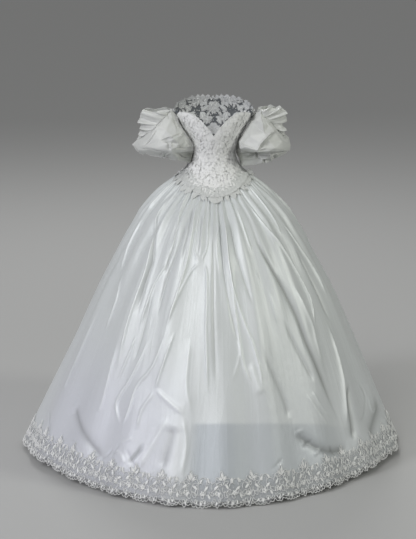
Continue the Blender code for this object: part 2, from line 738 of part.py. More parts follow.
def build_ruffle(side, name, loop, frills, waves, lift, inset):
    """A fan of gathered cloth that stands on the sleeve's top loop."""
    first = frills[0].angle
    last = frills[-1].angle
    count = waves * RUFFLE_COLUMNS_A_WAVE
    rows = [[], [], []]
    for k in range(count + 1):
        share = k / count
        angle = first + (last - first) * share
        rise = math.radians(from_table(frills, "angle", "rise", angle))
        reach = from_table(frills, "angle", "reach", angle)
        foot = loop_point(loop, angle, -inset) + Vector((0, 0, lift))
        middle = Vector((0.5 * (loop.inner_x + loop.outer_x), 0, foot.z))
        outward = (foot - middle).normalized()
        along = outward * math.cos(rise) + Vector((0, 0, math.sin(rise)))
        across = Vector((0, 0, math.cos(rise))) - outward * math.sin(rise)
        wave = RUFFLE_WAVE_DEPTH * math.cos(2 * math.pi * waves * share)
        for row, part in zip(rows, (1.0, 0.45, 0.0)):
            row.append(foot + along * reach * part + across * wave * part)
    sewn_sleeve(name, rows, side, False)


def build_sleeves():
    sides = ((1, "L", SLEEVE_RIGHT_SIDE, CREASES_RIGHT_SIDE, RUFFLE_RIGHT_SIDE,
              SEAT_RIGHT_SIDE),
             (-1, "R", SLEEVE_LEFT_SIDE, CREASES_LEFT_SIDE, RUFFLE_LEFT_SIDE,
              SEAT_LEFT_SIDE))
    for side, name, loops, creases, frills, seat in sides:
        build_sleeve(side, name, loops, creases)
        build_ruffle(side, f"ruffle_upper_{name}", loops[0], frills,
                     UPPER_WAVES, seat.upper, UPPER_FOOT_INSET)
        build_ruffle(side, f"ruffle_lower_{name}", loops[0], LOWER_RUFFLE,
                     LOWER_WAVES, seat.lower, LOWER_FOOT_INSET)


# -------------------------------------------------------------- back fastening
def build_placket():
    """A narrow button band over the centre back seam, with covered buttons on it."""
    half = 0.5 * PLACKET_WIDTH
    top = edge_height(NECKLINE, 180) - 0.002
    bottom = edge_height(WAIST_SEAM, 180) + 0.004
    rows = []
    for r in range(BUTTONS + 1):
        z = top + (bottom - top) * r / BUTTONS
        depth = body_point(180, z).y + SEAM_GAP + APPLIQUE_HEIGHT + WALL_LACE
        rows.append([Vector((x, depth, z)) for x in (half, -half)])
    cloth("back_placket", rows, side_by_side(rows, False), WALL_LACE, LACE)
    for k in range(BUTTONS):
        build_button(f"button_{k + 1}", rows[k] + rows[k + 1])


def build_button(name, corners):
    """A low dome of covered button, flat side down on one facet of the strip."""
    middle = sum(corners, Vector()) / len(corners)
    outward = (corners[2] - corners[0]).cross(corners[1] - corners[0]).normalized()
    shape = bmesh.new()
    bmesh.ops.create_uvsphere(shape, u_segments=8, v_segments=4, radius=BUTTON_RADIUS)
    everything = shape.verts[:] + shape.edges[:] + shape.faces[:]
    bmesh.ops.bisect_plane(shape, geom=everything, dist=1e-6, plane_co=(0, 0, 0),
                           plane_no=(0, 0, 1), clear_inner=True)
    rim = [edge for edge in shape.edges if edge.is_boundary]
    bmesh.ops.contextual_create(shape, geom=rim)
    bmesh.ops.scale(shape, vec=(1, 1, BUTTON_HEIGHT / BUTTON_RADIUS), verts=shape.verts)
    seat = Vector((0, 0, 1)).rotation_difference(outward).to_matrix().to_4x4()
    seat.translation = middle + outward * SEAM_GAP
    shape.transform(seat)
    add_object(name, shape, BUTTON_SATIN)


# ------------------------------------------------------------------- the dress
def main():
    for old in list(bpy.data.objects):
        bpy.data.objects.remove(old)
    build_skirt()
    build_hem_lace()
    build_bodice()
    build_waist_petals()
    build_yoke()
    build_sleeves()
    build_placket()


main()
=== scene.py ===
# %% [markdown]
# # A wedding dress: satin skirt, lace bodice, taffeta sleeves
# The imported solids are the sewn pieces at their real size. Here each of them gets the
# look of its cloth: folds and creases, lace with cords, leaves and beads, and a material
# for each fabric. Angles run round the dress from the centre front (0) by the wearer's
# left side, +X (90), to the centre back (180). Heights count from the waist.

import math
from collections import namedtuple

import bmesh
import bpy
import numpy as np
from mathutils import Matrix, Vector
from mathutils.geometry import delaunay_2d_cdt


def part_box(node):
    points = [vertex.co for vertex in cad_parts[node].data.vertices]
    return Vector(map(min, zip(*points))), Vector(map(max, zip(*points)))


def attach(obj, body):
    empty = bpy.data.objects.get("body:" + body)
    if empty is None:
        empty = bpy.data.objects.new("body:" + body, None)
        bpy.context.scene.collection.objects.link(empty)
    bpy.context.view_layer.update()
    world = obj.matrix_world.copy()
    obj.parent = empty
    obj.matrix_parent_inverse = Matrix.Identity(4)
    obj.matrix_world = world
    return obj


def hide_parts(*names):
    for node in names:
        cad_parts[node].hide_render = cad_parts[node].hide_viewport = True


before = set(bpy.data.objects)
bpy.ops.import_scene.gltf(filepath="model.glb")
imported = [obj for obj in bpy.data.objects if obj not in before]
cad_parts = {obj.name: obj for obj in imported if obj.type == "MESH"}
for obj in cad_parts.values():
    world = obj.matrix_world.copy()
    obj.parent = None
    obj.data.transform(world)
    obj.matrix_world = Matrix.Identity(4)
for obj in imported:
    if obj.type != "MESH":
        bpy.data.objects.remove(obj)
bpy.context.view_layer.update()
chance = np.random.default_rng(11)
FULL_TURN = 6.28


def draw(low, high):
    """One chance number between two ends."""
    return float(chance.uniform(low, high))


# %% [markdown]
# ## Camera, floor and light
# A long lens a good seven metres off keeps the gown's proportions true. The floor is one
# pale disc. White satin needs soft, broad light from one side more than the other: an
# even light would wash its folds out.

# %% Camera
FLOOR_Z = -1.173
lens = bpy.data.cameras.new("portrait_lens")
lens.lens = 129.9
lens.sensor_width = 36
lens.clip_end = 200
camera = bpy.data.objects.new("portrait_camera", lens)
camera.location = (-0.0217, -7.42, 1.265)
camera.rotation_euler = (math.radians(76.91), 0, 0)
bpy.context.scene.collection.objects.link(camera)
bpy.context.scene.camera = camera
print("camera at", tuple(camera.location))


# %% Floor
def mesh_of(form, name):
    """Turn a finished form into a mesh."""
    mesh = bpy.data.meshes.new(name)
    form.to_mesh(mesh)
    form.free()
    return mesh


def plain_finish(name, colour, roughness):
    material = bpy.data.materials.new(name)
    material.use_nodes = True
    shader = material.node_tree.nodes["Principled BSDF"]
    shader.inputs["Base Color"].default_value = (*colour, 1)
    shader.inputs["Roughness"].default_value = roughness
    shader.inputs["Specular IOR Level"].default_value = 0.0
    return material


disc = bmesh.new()
bmesh.ops.create_circle(disc, cap_ends=True, segments=96, radius=45)
bmesh.ops.translate(disc, vec=(0, 0, FLOOR_Z - 0.002), verts=disc.verts)
floor = bpy.data.objects.new("studio_floor", mesh_of(disc, "studio_floor"))
floor.data.materials.append(plain_finish("pale_floor", (0.46, 0.46, 0.455), 0.8))
bpy.context.scene.collection.objects.link(floor)
print("floor at", FLOOR_Z - 0.002)

# %% Lights
Softbox = namedtuple("Softbox", "name place size watts colour")
SOFTBOXES = (
    Softbox("key_left", (-3.8, -3.2, 2.75), 1.2, 96, (0.95, 0.965, 1.0)),
    Softbox("side_right", (4.4, -1.8, 2.2), 1.2, 72, (0.98, 1.0, 0.92)),
    Softbox("back_top", (-0.8, 4.6, 3.8), 2.0, 110, (1.0, 1.0, 1.0)),
    Softbox("low_left", (-3.6, -2.4, -0.5), 1.4, 17, (0.84, 0.80, 1.0)),
    Softbox("front_fill", (-1.0, -5.2, 1.5), 1.2, 12, (1.0, 1.0, 1.0)),
)


def hang_light(name, kind, place, energy, colour):
    """A light that looks at the middle of the dress."""
    lamp = bpy.data.lights.new(name, kind)
    lamp.energy = energy
    lamp.color = colour
    light = bpy.data.objects.new(name, lamp)
    light.location = place
    light.rotation_euler = (-Vector(place)).to_track_quat("-Z", "Y").to_euler()
    bpy.context.scene.collection.objects.link(light)
    return lamp


for box in SOFTBOXES:
    lamp = hang_light(box.name, "AREA", box.place, box.watts, box.colour)
    lamp.shape = "DISK"
    lamp.size = box.size
bounce = hang_light("window_light", "SUN", (-1.6, -3.2, 4.0), 0.82, (1.0, 1.0, 0.99))
bounce.angle = math.radians(30)
sky = bpy.data.worlds.new("studio_air")
sky.use_nodes = True
sky.node_tree.nodes["Background"].inputs["Color"].default_value = (0.80, 0.81, 0.82, 1)
sky.node_tree.nodes["Background"].inputs["Strength"].default_value = 0.205
bpy.context.scene.world = sky
bpy.context.scene.view_settings.view_transform = "Standard"
print("lights:", len(SOFTBOXES))

# %% [markdown]
# ## The dress form
# Every cloth piece is laid on one smooth form, given by how far the dress stands out at
# each height. A short table and a smooth curve through it describe the form better than
# a long list of points, and the curve can be read at thousands of places at once.

# %% Smooth curves through short tables
# Height from the waist, then how far the dress reaches to the side, in front and behind, in mm.
SECTIONS = np.array((
    (215, 135, 80, 82), (190, 150, 92, 90), (165, 153, 100, 94), (150, 146, 103, 96),
    (125, 132, 105, 97), (100, 118, 104, 96), (75, 104, 101, 93), (50, 92, 96, 89),
    (20, 83, 90, 85), (0, 81, 88, 84), (-20, 87, 90, 88), (-40, 97, 96, 96), (-62, 112, 105, 108),
    (-88, 150, 118, 126), (-112, 183, 133, 150), (-136, 211, 153, 180), (-160, 233, 180, 208),
    (-185, 253, 209, 233), (-210, 272, 236, 256), (-235, 291, 260, 278), (-280, 318, 297, 310),
    (-330, 349, 332, 343), (-380, 376, 363, 371), (-430, 403, 393, 398), (-520, 451, 446, 447),
    (-640, 508, 508, 504), (-790, 577, 581, 571), (-940, 645, 654, 638), (-1090, 713, 726, 706),
    (-1173, 752, 765, 744),
)) / 1000


def smooth_curve(places, values):
    """A smooth line through a short table, without overshoot, read at many places."""
    order = np.argsort(places)
    x = np.asarray(places, float)[order]
    y = np.asarray(values, float)[order]
    slopes = np.gradient(y)
    slopes[1:-1] = (y[2:] - y[:-2]) / (x[2:] - x[:-2])
    slopes[0] = (y[1] - y[0]) / (x[1] - x[0])
    slopes[-1] = (y[-1] - y[-2]) / (x[-1] - x[-2])

    def read(at):
        at = np.asarray(at, float)
        i = np.clip(np.searchsorted(x, at) - 1, 0, len(x) - 2)
        span = x[i + 1] - x[i]
        limit = 3 * np.abs((y[i + 1] - y[i]) / span)
        first = np.clip(slopes[i], -limit, limit)
        last = np.clip(slopes[i + 1], -limit, limit)
        t = np.clip((at - x[i]) / span, 0, 1)
        return ((2 * t**3 - 3 * t**2 + 1) * y[i] + (t**3 - 2 * t**2 + t) * span * first
                + (3 * t**2 - 2 * t**3) * y[i + 1] + (t**3 - t**2) * span * last)

    return read


SIDE, FRONT, BACK = (smooth_curve(SECTIONS[:, 0], SECTIONS[:, k]) for k in (1, 2, 3))
MIDDLE_LINE = smooth_curve((-1.173, -1.020, -0.820, -0.560, -0.330, -0.140, -0.020),
                           (-0.009, -0.006, 0.001, 0.006, 0.005, 0.001, 0.0))
print("waist width", round(2 * float(SIDE(0.0)), 3), "hem width", round(2 * float(SIDE(-1.17)), 3))


# %% Points of the form
def ease(value, start, end):
    """0 before start, 1 after end, smooth between them."""
    t = np.clip((value - start) / (end - start), 0, 1)
    return t * t * (3 - 2 * t)


def form_radius(angle, z):
    a = np.radians(angle)
    ahead = np.cos(a) > 0
    depth = np.where(ahead, FRONT(z), BACK(z))
    radius = 1 / np.hypot(np.sin(a) / SIDE(z), np.cos(a) / depth)
    fullness = 0.055 * ease(-z, 0.3, -FLOOR_Z) * np.sin(2 * a) ** 2
    return radius * np.where(ahead, 1 - fullness, 1)


def plain_form(angle, z):
    a = np.radians(angle)
    radius = form_radius(angle, z)
    return np.stack((MIDDLE_LINE(z) + radius * np.sin(a), -radius * np.cos(a), z), -1)


def on_form(angle, z, out=0.0):
    """Points of the form, moved out square to it."""
    angle = np.asarray(angle, float)
    z = np.asarray(z, float)
    across = plain_form(angle + 1, z) - plain_form(angle - 1, z)
    down = plain_form(angle, z - 0.004) - plain_form(angle, z + 0.004)
    square = np.cross(down, across)
    square /= np.linalg.norm(square, axis=-1, keepdims=True)
    return plain_form(angle, z) + square * np.asarray(out, float)[..., None]


def beside(angle, z, across):
    """The angle of a place that lies some metres round the form from another."""
    return angle + np.degrees(across / form_radius(angle, z))


def turned(angle):
    return (np.asarray(angle, float) + 180) % 360 - 180


# %% Seam lines
def edge_line(*rows):
    """A line round the dress: rows of an angle and a height in mm, the same left and right."""
    angles, heights = np.array(rows).T
    curve = smooth_curve(angles, heights / 1000)

    def height(angle):
        return curve(np.abs(turned(angle)))

    return height


neck_height = edge_line(
    (0, 82), (14, 117), (28, 144), (42, 162), (55, 170), (66, 168), (76, 155), (84, 130),
    (96, 105), (116, 85), (140, 62), (180, 45)
)
lace_top_height = edge_line(
    (72, 176), (84, 172), (96, 180), (110, 197), (126, 209), (140, 213), (160, 213), (180, 207)
)
waist_line = edge_line(
    (0, -133), (15, -128), (30, -112), (45, -92), (60, -76), (90, -62), (120, -68), (150, -85),
    (180, -95)
)
hem_rise = edge_line(
    (0, 0), (25, 4), (45, 10), (65, 20), (80, 15), (90, 8), (125, 6), (180, 0)
)
SEAM_STEPS = np.arange(0, 181, 6)


def seam_height(angle):
    """The waist seam, straight between points six degrees apart, as the solids have it."""
    return np.interp(np.abs(turned(angle)), SEAM_STEPS, waist_line(SEAM_STEPS))


def hem_height(angle):
    return FLOOR_Z + hem_rise(angle)


print("waist seam, front point:", round(float(seam_height(0)), 3))

# %% [markdown]
# ## Making a piece of cloth
# A grid from Blender's own operator is the flat cloth. Its points are then laid where the
# form says, and its UV map keeps the flat size in metres, so that a weave follows the
# cloth round every fold.


def keep_piece(name, mesh, nodes=()):
    """Put a finished mesh into the scene, riding with the dress."""
    piece = bpy.data.objects.new(name, mesh)
    bpy.context.scene.collection.objects.link(piece)
    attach(piece, "root")
    if nodes:
        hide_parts(*nodes)
    return piece


def flat_grid(columns, rows):
    """A flat cloth: u runs to the wearer's left, v down, both from 0 to 1."""
    cloth = bmesh.new()
    bmesh.ops.create_grid(cloth, x_segments=columns, y_segments=rows, size=0.5)
    cloth.loops.layers.uv.new("cloth")
    mesh = mesh_of(cloth, "cloth")
    points = np.empty(len(mesh.vertices) * 3)
    mesh.vertices.foreach_get("co", points)
    points = points.reshape(-1, 3)
    return mesh, points[:, 0] + 0.5, 0.5 - points[:, 1]


def lay_cloth(name, columns, rows, place, size, slot, material, node, marks=None):
    """Lay a flat grid on the dress; place gives a point for each u and v."""
    mesh, u, v = flat_grid(columns, rows)
    mesh.name = name
    mesh.vertices.foreach_set("co", place(u, v).ravel())
    corner = np.empty(len(mesh.loops), int)
    mesh.loops.foreach_get("vertex_index", corner)
    flat = np.stack((u * size[0], (1 - v) * size[1]), -1)[corner]
    mesh.uv_layers["cloth"].data.foreach_set("uv", flat.ravel())
    for label, value in (marks or {}).items():
        mark = mesh.attributes.new(label, "FLOAT", "POINT")
        mark.data.foreach_set("value", value(u, v).astype(np.float32))
    mesh.update()
    mesh.shade_smooth()
    mesh.materials.append(material)
    return keep_piece(name, mesh, (node,))


def lined(piece, thickness):
    """Give a cloth its thickness, inwards."""
    wall = piece.modifiers.new("thickness", "SOLIDIFY")
    wall.thickness = thickness
    wall.offset = -1
    return piece


# %% [markdown]
# ## Finishes
# Satin shines because its threads float over several others, so it gets the lower
# roughness, a fine weave in the bump and broad soft tones. Taffeta is crisper and duller.
# Lace is matt thread on net, and net is mostly holes, so its alpha is low. The weave and
# the crinkles, which all cloths share, are one node group each.

# %% Node helpers
def feed(tree, node, inputs):
    """Fill inputs of a node, each with a value or with another node's output."""
    for label, value in inputs.items():
        if isinstance(value, bpy.types.NodeSocket):
            tree.links.new(value, node.inputs[label])
        else:
            node.inputs[label].default_value = value


def add_node(tree, kind, inputs, **settings):
    """A new node, set and fed; what comes back is its outputs."""
    node = tree.nodes.new("ShaderNode" + kind)
    for label, value in settings.items():
        setattr(node, label, value)
    feed(tree, node, inputs)
    return node.outputs


def math_node(tree, kind, *values):
    return add_node(tree, "Math", dict(enumerate(values)), operation=kind)[0]


def noise_node(tree, vector, scale, detail=3.0, roughness=0.55):
    return add_node(tree, "TexNoise", {"Vector": vector, "Scale": scale, "Detail": detail,
                                       "Roughness": roughness})["Fac"]


def weighed(tree, *pairs):
    """The sum of some values, each times its weight."""
    parts = [math_node(tree, "MULTIPLY", value, weight) for value, weight in pairs]
    total = parts[0]
    for part in parts[1:]:
        total = math_node(tree, "ADD", total, part)
    return total


def blend(tree, share, first, second, way="MIX"):
    return add_node(tree, "Mix", {"Factor": share, "A": first, "B": second},
                    data_type="RGBA", blend_type=way)["Result"]


def marked(tree, label):
    return add_node(tree, "Attribute", {}, attribute_name=label)["Fac"]


def bump(tree, height):
    return add_node(tree, "Bump", {"Distance": 1.0, "Height": height})["Normal"]


def new_finish(name):
    material = bpy.data.materials.new(name)
    material.use_nodes = True
    tree = material.node_tree
    return material, tree, tree.nodes["Principled BSDF"], add_node(tree, "TexCoord", {})


# %% Node groups
def new_group(name, inputs, outputs):
    group = bpy.data.node_groups.new(name, "ShaderNodeTree")
    for label, kind in inputs:
        group.interface.new_socket(label, in_out="INPUT", socket_type=kind)
    for label in outputs:
        group.interface.new_socket(label, in_out="OUTPUT", socket_type="NodeSocketFloat")
    return group, group.nodes.new("NodeGroupInput").outputs, group.nodes.new("NodeGroupOutput")


def stretched(tree, vector, scale):
    return add_node(tree, "Mapping", {"Vector": vector, "Scale": scale})[0]


def thin_lines(tree, noise, power):
    """Soft noise turned into thin lines, where it crosses its middle."""
    away = math_node(tree, "ABSOLUTE", math_node(tree, "SUBTRACT", noise, 0.5))
    return math_node(tree, "POWER", away, power)


def weave_group():
    """Over-and-under threads, as many a metre as asked, and uneven thicker threads."""
    group, given, result = new_group(
        "thread_weave", (("Cloth", "NodeSocketVector"), ("Threads", "NodeSocketFloat")),
        ("Height", "Slub"))
    threads = add_node(group, "VectorMath", {0: given["Cloth"], "Scale": given["Threads"]},
                       operation="SCALE")[0]
    split = add_node(group, "SeparateXYZ", {0: threads})
    over, under = (math_node(group, "SINE", split[way]) for way in "XY")
    slub = noise_node(group, stretched(group, given["Cloth"], (90, 2.2, 1)), 1.0)
    feed(group, result, {"Height": math_node(group, "MULTIPLY", over, under), "Slub": slub})
    return group


def crinkle_group():
    """Soft dents and fine creases of packed cloth, and long lines down its fall."""
    group, given, result = new_group(
        "soft_crinkle", (("Place", "NodeSocketVector"), ("Cloth", "NodeSocketVector")),
        ("Dents", "Creases", "Lines"))
    fall = noise_node(group, stretched(group, given["Cloth"], (26, 2.6, 1)), 1.0, 2.0, 0.4)
    feed(group, result, {
        "Dents": noise_node(group, given["Place"], 9.0, 2.0),
        "Creases": thin_lines(group, noise_node(group, given["Place"], 15.0, 4.0), 0.6),
        "Lines": thin_lines(group, fall, 0.5),
    })
    return group


WEAVE = weave_group()
CRINKLE = crinkle_group()
print("node groups:", WEAVE.name, CRINKLE.name)


# %% A cloth finish
def cloth_finish(name, light, dark, roughness, crinkle, dents, threads=5000.0, pearly=0.0,
                 lines=0.0, tones=()):
    """A woven finish: close tones, soft dents, fine creases and threads, and painted shade and
    light by marks.
    """
    material, tree, shader, where = new_finish(name)
    weave = add_node(tree, "Group", {"Cloth": where["UV"], "Threads": threads}, node_tree=WEAVE)
    folds = add_node(tree, "Group", {"Place": where["Object"], "Cloth": where["UV"]},
                     node_tree=CRINKLE)
    drift = noise_node(tree, where["Object"], 1.7, 2.0)
    colour = blend(tree, weighed(tree, (weave["Slub"], 0.35), (drift, 0.65)),
                   (*dark, 1), (*light, 1))
    for label, way, tint in tones:
        colour = blend(tree, marked(tree, label), colour, (*tint, 1), way)
    height = weighed(tree, (folds["Dents"], dents), (folds["Creases"], crinkle),
                     (weave["Height"], 0.00003), (folds["Lines"], -lines))
    dull = math_node(tree, "MULTIPLY", folds["Dents"], 0.10)
    feed(tree, shader, {
        "Base Color": colour,
        "Roughness": math_node(tree, "ADD", roughness - 0.05, dull),
        "Sheen Weight": 0.1,
        "Sheen Roughness": 0.35,
        "Metallic": pearly,
        "Normal": bump(tree, height),
    })
    return material


# The satin's marked tones: painted shade in a band above the hem, painted lavender light low at
# the wearer's right, painted shade in the crease troughs and painted highlight on the ridges.
SATIN_TONES = (
    ("painted_hem_shade", "MULTIPLY", (0.73, 0.7516, 0.784)),
    ("painted_lilac_light", "MULTIPLY", (0.955, 0.940, 1.0)),
    ("crease_shade", "MULTIPLY", (0.55, 0.55, 0.54)),
    ("painted_crease_highlight", "MIX", (0.92, 0.95, 0.94)),
)
# The taffeta's marked tone is painted shade on the sleeves' undersides.
TAFFETA_TONES = (("painted_hollow_shade", "MULTIPLY", (0.50, 0.51, 0.48)),)
satin = cloth_finish("bridal_satin", (0.705, 0.736, 0.726), (0.648, 0.671, 0.670), 0.42,
                     0.0006, 0.0012, pearly=0.13, lines=0.0012, tones=SATIN_TONES)
taffeta = cloth_finish("crisp_taffeta", (0.65, 0.66, 0.635), (0.59, 0.60, 0.575), 0.47,
                       0.0008, 0.0012, 3600.0, pearly=0.06, tones=TAFFETA_TONES)
button_satin = cloth_finish("button_satin", (0.80, 0.81, 0.79), (0.72, 0.73, 0.71), 0.34,
                            0.0002, 0.0004, 7000.0)
print("cloths:", satin.name, taffeta.name, button_satin.name)


# %% Lace finishes
def thread_finish(name, light, dark, roughness, scale, relief, coat=0.0):
    """Thread and cord: a fine uneven relief in two close tones."""
    material, tree, shader, where = new_finish(name)
    away = add_node(tree, "TexVoronoi", {"Vector": where["Object"], "Scale": scale})["Distance"]
    dull = math_node(tree, "MULTIPLY", away, 0.2)
    feed(tree, shader, {
        "Base Color": blend(tree, away, (*light, 1), (*dark, 1)),
        "Roughness": math_node(tree, "ADD", roughness - 0.1, dull),
        "Coat Weight": coat,
        "Normal": bump(tree, math_node(tree, "MULTIPLY", away, -relief)),
    })
    return material


def net_finish(name, colour, cover, holes, fading=False):
    """Tulle: thin threads round small holes; cover is its alpha in the holes."""
    material, tree, shader, where = new_finish(name)
    cells = add_node(tree, "TexVoronoi", {"Vector": where["UV"], "Scale": holes},
                     feature="DISTANCE_TO_EDGE")
    alpha = add_node(tree, "MapRange", {
        "Value": cells["Distance"], "From Min": 0.05, "From Max": 0.16,
        "To Min": min(1.0, cover + 0.45), "To Max": cover,
    })["Result"]
    if fading:
        left = math_node(tree, "SUBTRACT", 1.0, marked(tree, "crest"))
        alpha = math_node(tree, "MULTIPLY", alpha, left)
    darker = (*(0.8 * c for c in colour), 1)
    tone = blend(tree, noise_node(tree, where["Object"], 40.0), (*colour, 1), darker)
    feed(tree, shader, {"Roughness": 0.7, "Alpha": alpha, "Base Color": tone})
    return material


THREAD_SHADE = (0.80, 0.805, 0.79)
lace_ground = thread_finish("lace_ground", (0.86, 0.865, 0.85), THREAD_SHADE, 0.6, 230, 0.0007)
lace_thread = thread_finish("lace_thread", (0.89, 0.895, 0.88), THREAD_SHADE, 0.4, 420, 0.0005,
                            coat=0.35)
pearl = thread_finish("pearl_bead", (0.88, 0.88, 0.86), (0.80, 0.81, 0.80), 0.2, 90, 0.0001,
                      coat=0.6)
lace_fill = thread_finish("lace_fill", (0.89, 0.893, 0.875), (0.83, 0.833, 0.82), 0.6, 700,
                          0.0006)
petal_fill = thread_finish("petal_fill", (0.71, 0.725, 0.705), (0.62, 0.635, 0.615), 0.5, 700,
                           0.0008)
yoke_net = net_finish("yoke_net", (0.11, 0.125, 0.14), 0.58, 420)
hem_net = net_finish("hem_net", (0.52, 0.53, 0.54), 0.24, 420, fading=True)
sheer_fill = net_finish("sheer_fill", (0.76, 0.77, 0.775), 0.88, 900)
print("lace:", lace_ground.name, lace_thread.name, pearl.name, yoke_net.name, hem_net.name)

# %% [markdown]
# ## The skirt
# A full satin skirt falls in long folds from its gathers. The broad folds are those of
# the solid. On them go the creases of the real cloth: long thin ridges, uneven in length
# and place, some of which meet in a point, and soft dark troughs beside them. Each is a
# line down the cloth, with a width and a height.

# %% Broad folds
# Each fold: its angle, height in mm, width in tenths of a degree, start and end in hundredths of
# a metre down the skirt.
FOLDS = np.array((
    (-84, 7, 40, 4, 60), (-71, 9, 45, 3, 90), (-58, 10, 45, 2, 55), (-44, 13, 50, 2, 100),
    (-31, 10, 40, 2, 40), (-21, 13, 45, 2, 95), (-11, 10, 35, 2, 30), (-2, 9, 40, 2, 75),
    (8, 11, 40, 2, 45), (19, 13, 45, 2, 90), (32, 12, 45, 2, 60), (45, 12, 50, 2, 100),
    (59, 9, 45, 2, 50), (73, 9, 45, 3, 85), (86, 6, 40, 4, 55), (100, 9, 45, 3, 95),
    (114, 10, 45, 2, 60), (128, 12, 50, 2, 90), (141, 10, 40, 2, 45), (154, 13, 45, 2, 100),
    (167, 10, 40, 2, 55), (180, 12, 45, 2, 85), (-168, 10, 40, 2, 50), (-155, 13, 45, 2, 95),
    (-141, 10, 45, 2, 60), (-127, 12, 50, 2, 90), (-113, 9, 40, 3, 45), (-99, 9, 45, 3, 100),
)) / (1, 1000, 10, 100, 100)


def broad_folds(angle, drop):
    a = np.radians(angle)
    gather = 0.0024 * ease(drop, 0.0, 0.03) * (1 - ease(drop, 0.10, 0.30))
    height = gather * np.cos(40 * a)
    for centre, rise, width, start, end in FOLDS:
        across = np.exp(-(turned(angle - centre) / width) ** 2)
        along = ease(drop, start, start + 0.13) * (1 - ease(drop, 0.5 * end, end))
        height = height + rise * across * along
    flute = 0.007 * ease(drop, 0.35, 1.0)
    return height + flute * np.sin(20 * a + 0.9 * np.sin(3 * a))


print("broad folds:", len(FOLDS))

# %% Creases, one by one
Crease = namedtuple("Crease", "line width height")


def creases(unit, *rows):
    """Each row: width and height in tenths of a mm, then pairs of an angle and a place."""
    return tuple(Crease(tuple(zip(row[2::2], [place / unit for place in row[3::2]])),
                        row[0] / 10000, row[1] / 10000) for row in rows)


# The places of the skirt's creases are in mm under the waist.
FRONT_CREASES = creases(
    -1000,
    (60, 85, -58.7, 112, -53.2, 229, -45.9, 293, -42.2, 406, -42.6, 602, -40.9, 801),
    (45, 50, -37, 618, -38.1, 690, -40.4, 804),
    (50, 65, -29.7, 609, -33.7, 754, -38, 845, -37.2, 890, -33.2, 940),
    (50, 65, -22, 586, -25, 713, -30.6, 795, -31.5, 880, -33, 940),
    (50, 65, -17.8, 584, -21.1, 726, -22.2, 790), (70, 60, -22, 792, -17.1, 822, -9.5, 868),
    (60, 45, -22.5, 797, -26.2, 870, -26.6, 936),
    (55, 75, -6.9, 355, -4.8, 401, -4.2, 569, -3.4, 673, -2.2, 817),
    (60, 40, -68.5, 560, -69.7, 815, -69.7, 892), (70, 40, -45.3, 640, -44.3, 860, -44.8, 910),
    (50, 75, -38.6, 114, -34.3, 192, -30.3, 244, -28.8, 345),
    (55, 70, -29.6, 363, -34.6, 436, -35.7, 508, -36.2, 600),
    (50, 90, -21.6, 145, -17.1, 247, -17.1, 340, -19.8, 472, -22.1, 590),
    (35, 60, -15.9, 151, -14, 269, -13.2, 322, -9, 350),
    (35, 60, -4.8, 167, -5.5, 229, -5.2, 300, -8.8, 350),
    (30, 40, -9.6, 170, -9.9, 240, -9.3, 310),
    (50, 55, -9.3, 355, -14.7, 390, -19.4, 482, -22.4, 580),
    (50, 85, 9.7, 166, 8.2, 287, 8.9, 421, 14, 583, 15.7, 630, 17.7, 742, 17.3, 800),
    (40, 40, 4.4, 204, 1.3, 287, 2.7, 401),
    (50, 60, 6, 310, 8.5, 388, 9.7, 537, 11.5, 704, 16.3, 800),
    (55, 90, 38.8, 138, 41.7, 249, 50, 362, 54.1, 508, 50.8, 620),
    (50, 65, 56, 97, 55, 184, 53.6, 290), (40, -40, 66.5, 130, 66, 180, 65.6, 225),
    (70, 70, 60.5, 230, 66, 330, 69.6, 420, 70.4, 540),
    (130, 80, 23.9, 160, 23.4, 255, 24.1, 335), (50, 30, 23.8, 384, 25.6, 450),
    (60, 30, 28.6, 455, 29.5, 570), (130, 90, 61.3, 600, 59, 780, 55.8, 890, 52.6, 992),
    (60, 45, 39.1, 820, 41.5, 873, 45.5, 935),
    (190, 66, 44.5, 448, 46.5, 530, 48.6, 606, 47.8, 668, 48.4, 778),
    (180, 58, 14, 690, 15.8, 754, 17.2, 808), (60, 50, 36.1, 825, 40.1, 899, 44, 960),
    (70, 30, 7.9, 581, 10.4, 656, 6.2, 761), (120, 50, -10.9, 600, -10.8, 749, -7.9, 860),
    (90, 60, -70.7, 100, -70.5, 153, -70.9, 210), (70, 50, -70.5, 230, -68.7, 345, -65.1, 430),
    (80, 50, -61.1, 430, -57.1, 523, -57.3, 640),
)
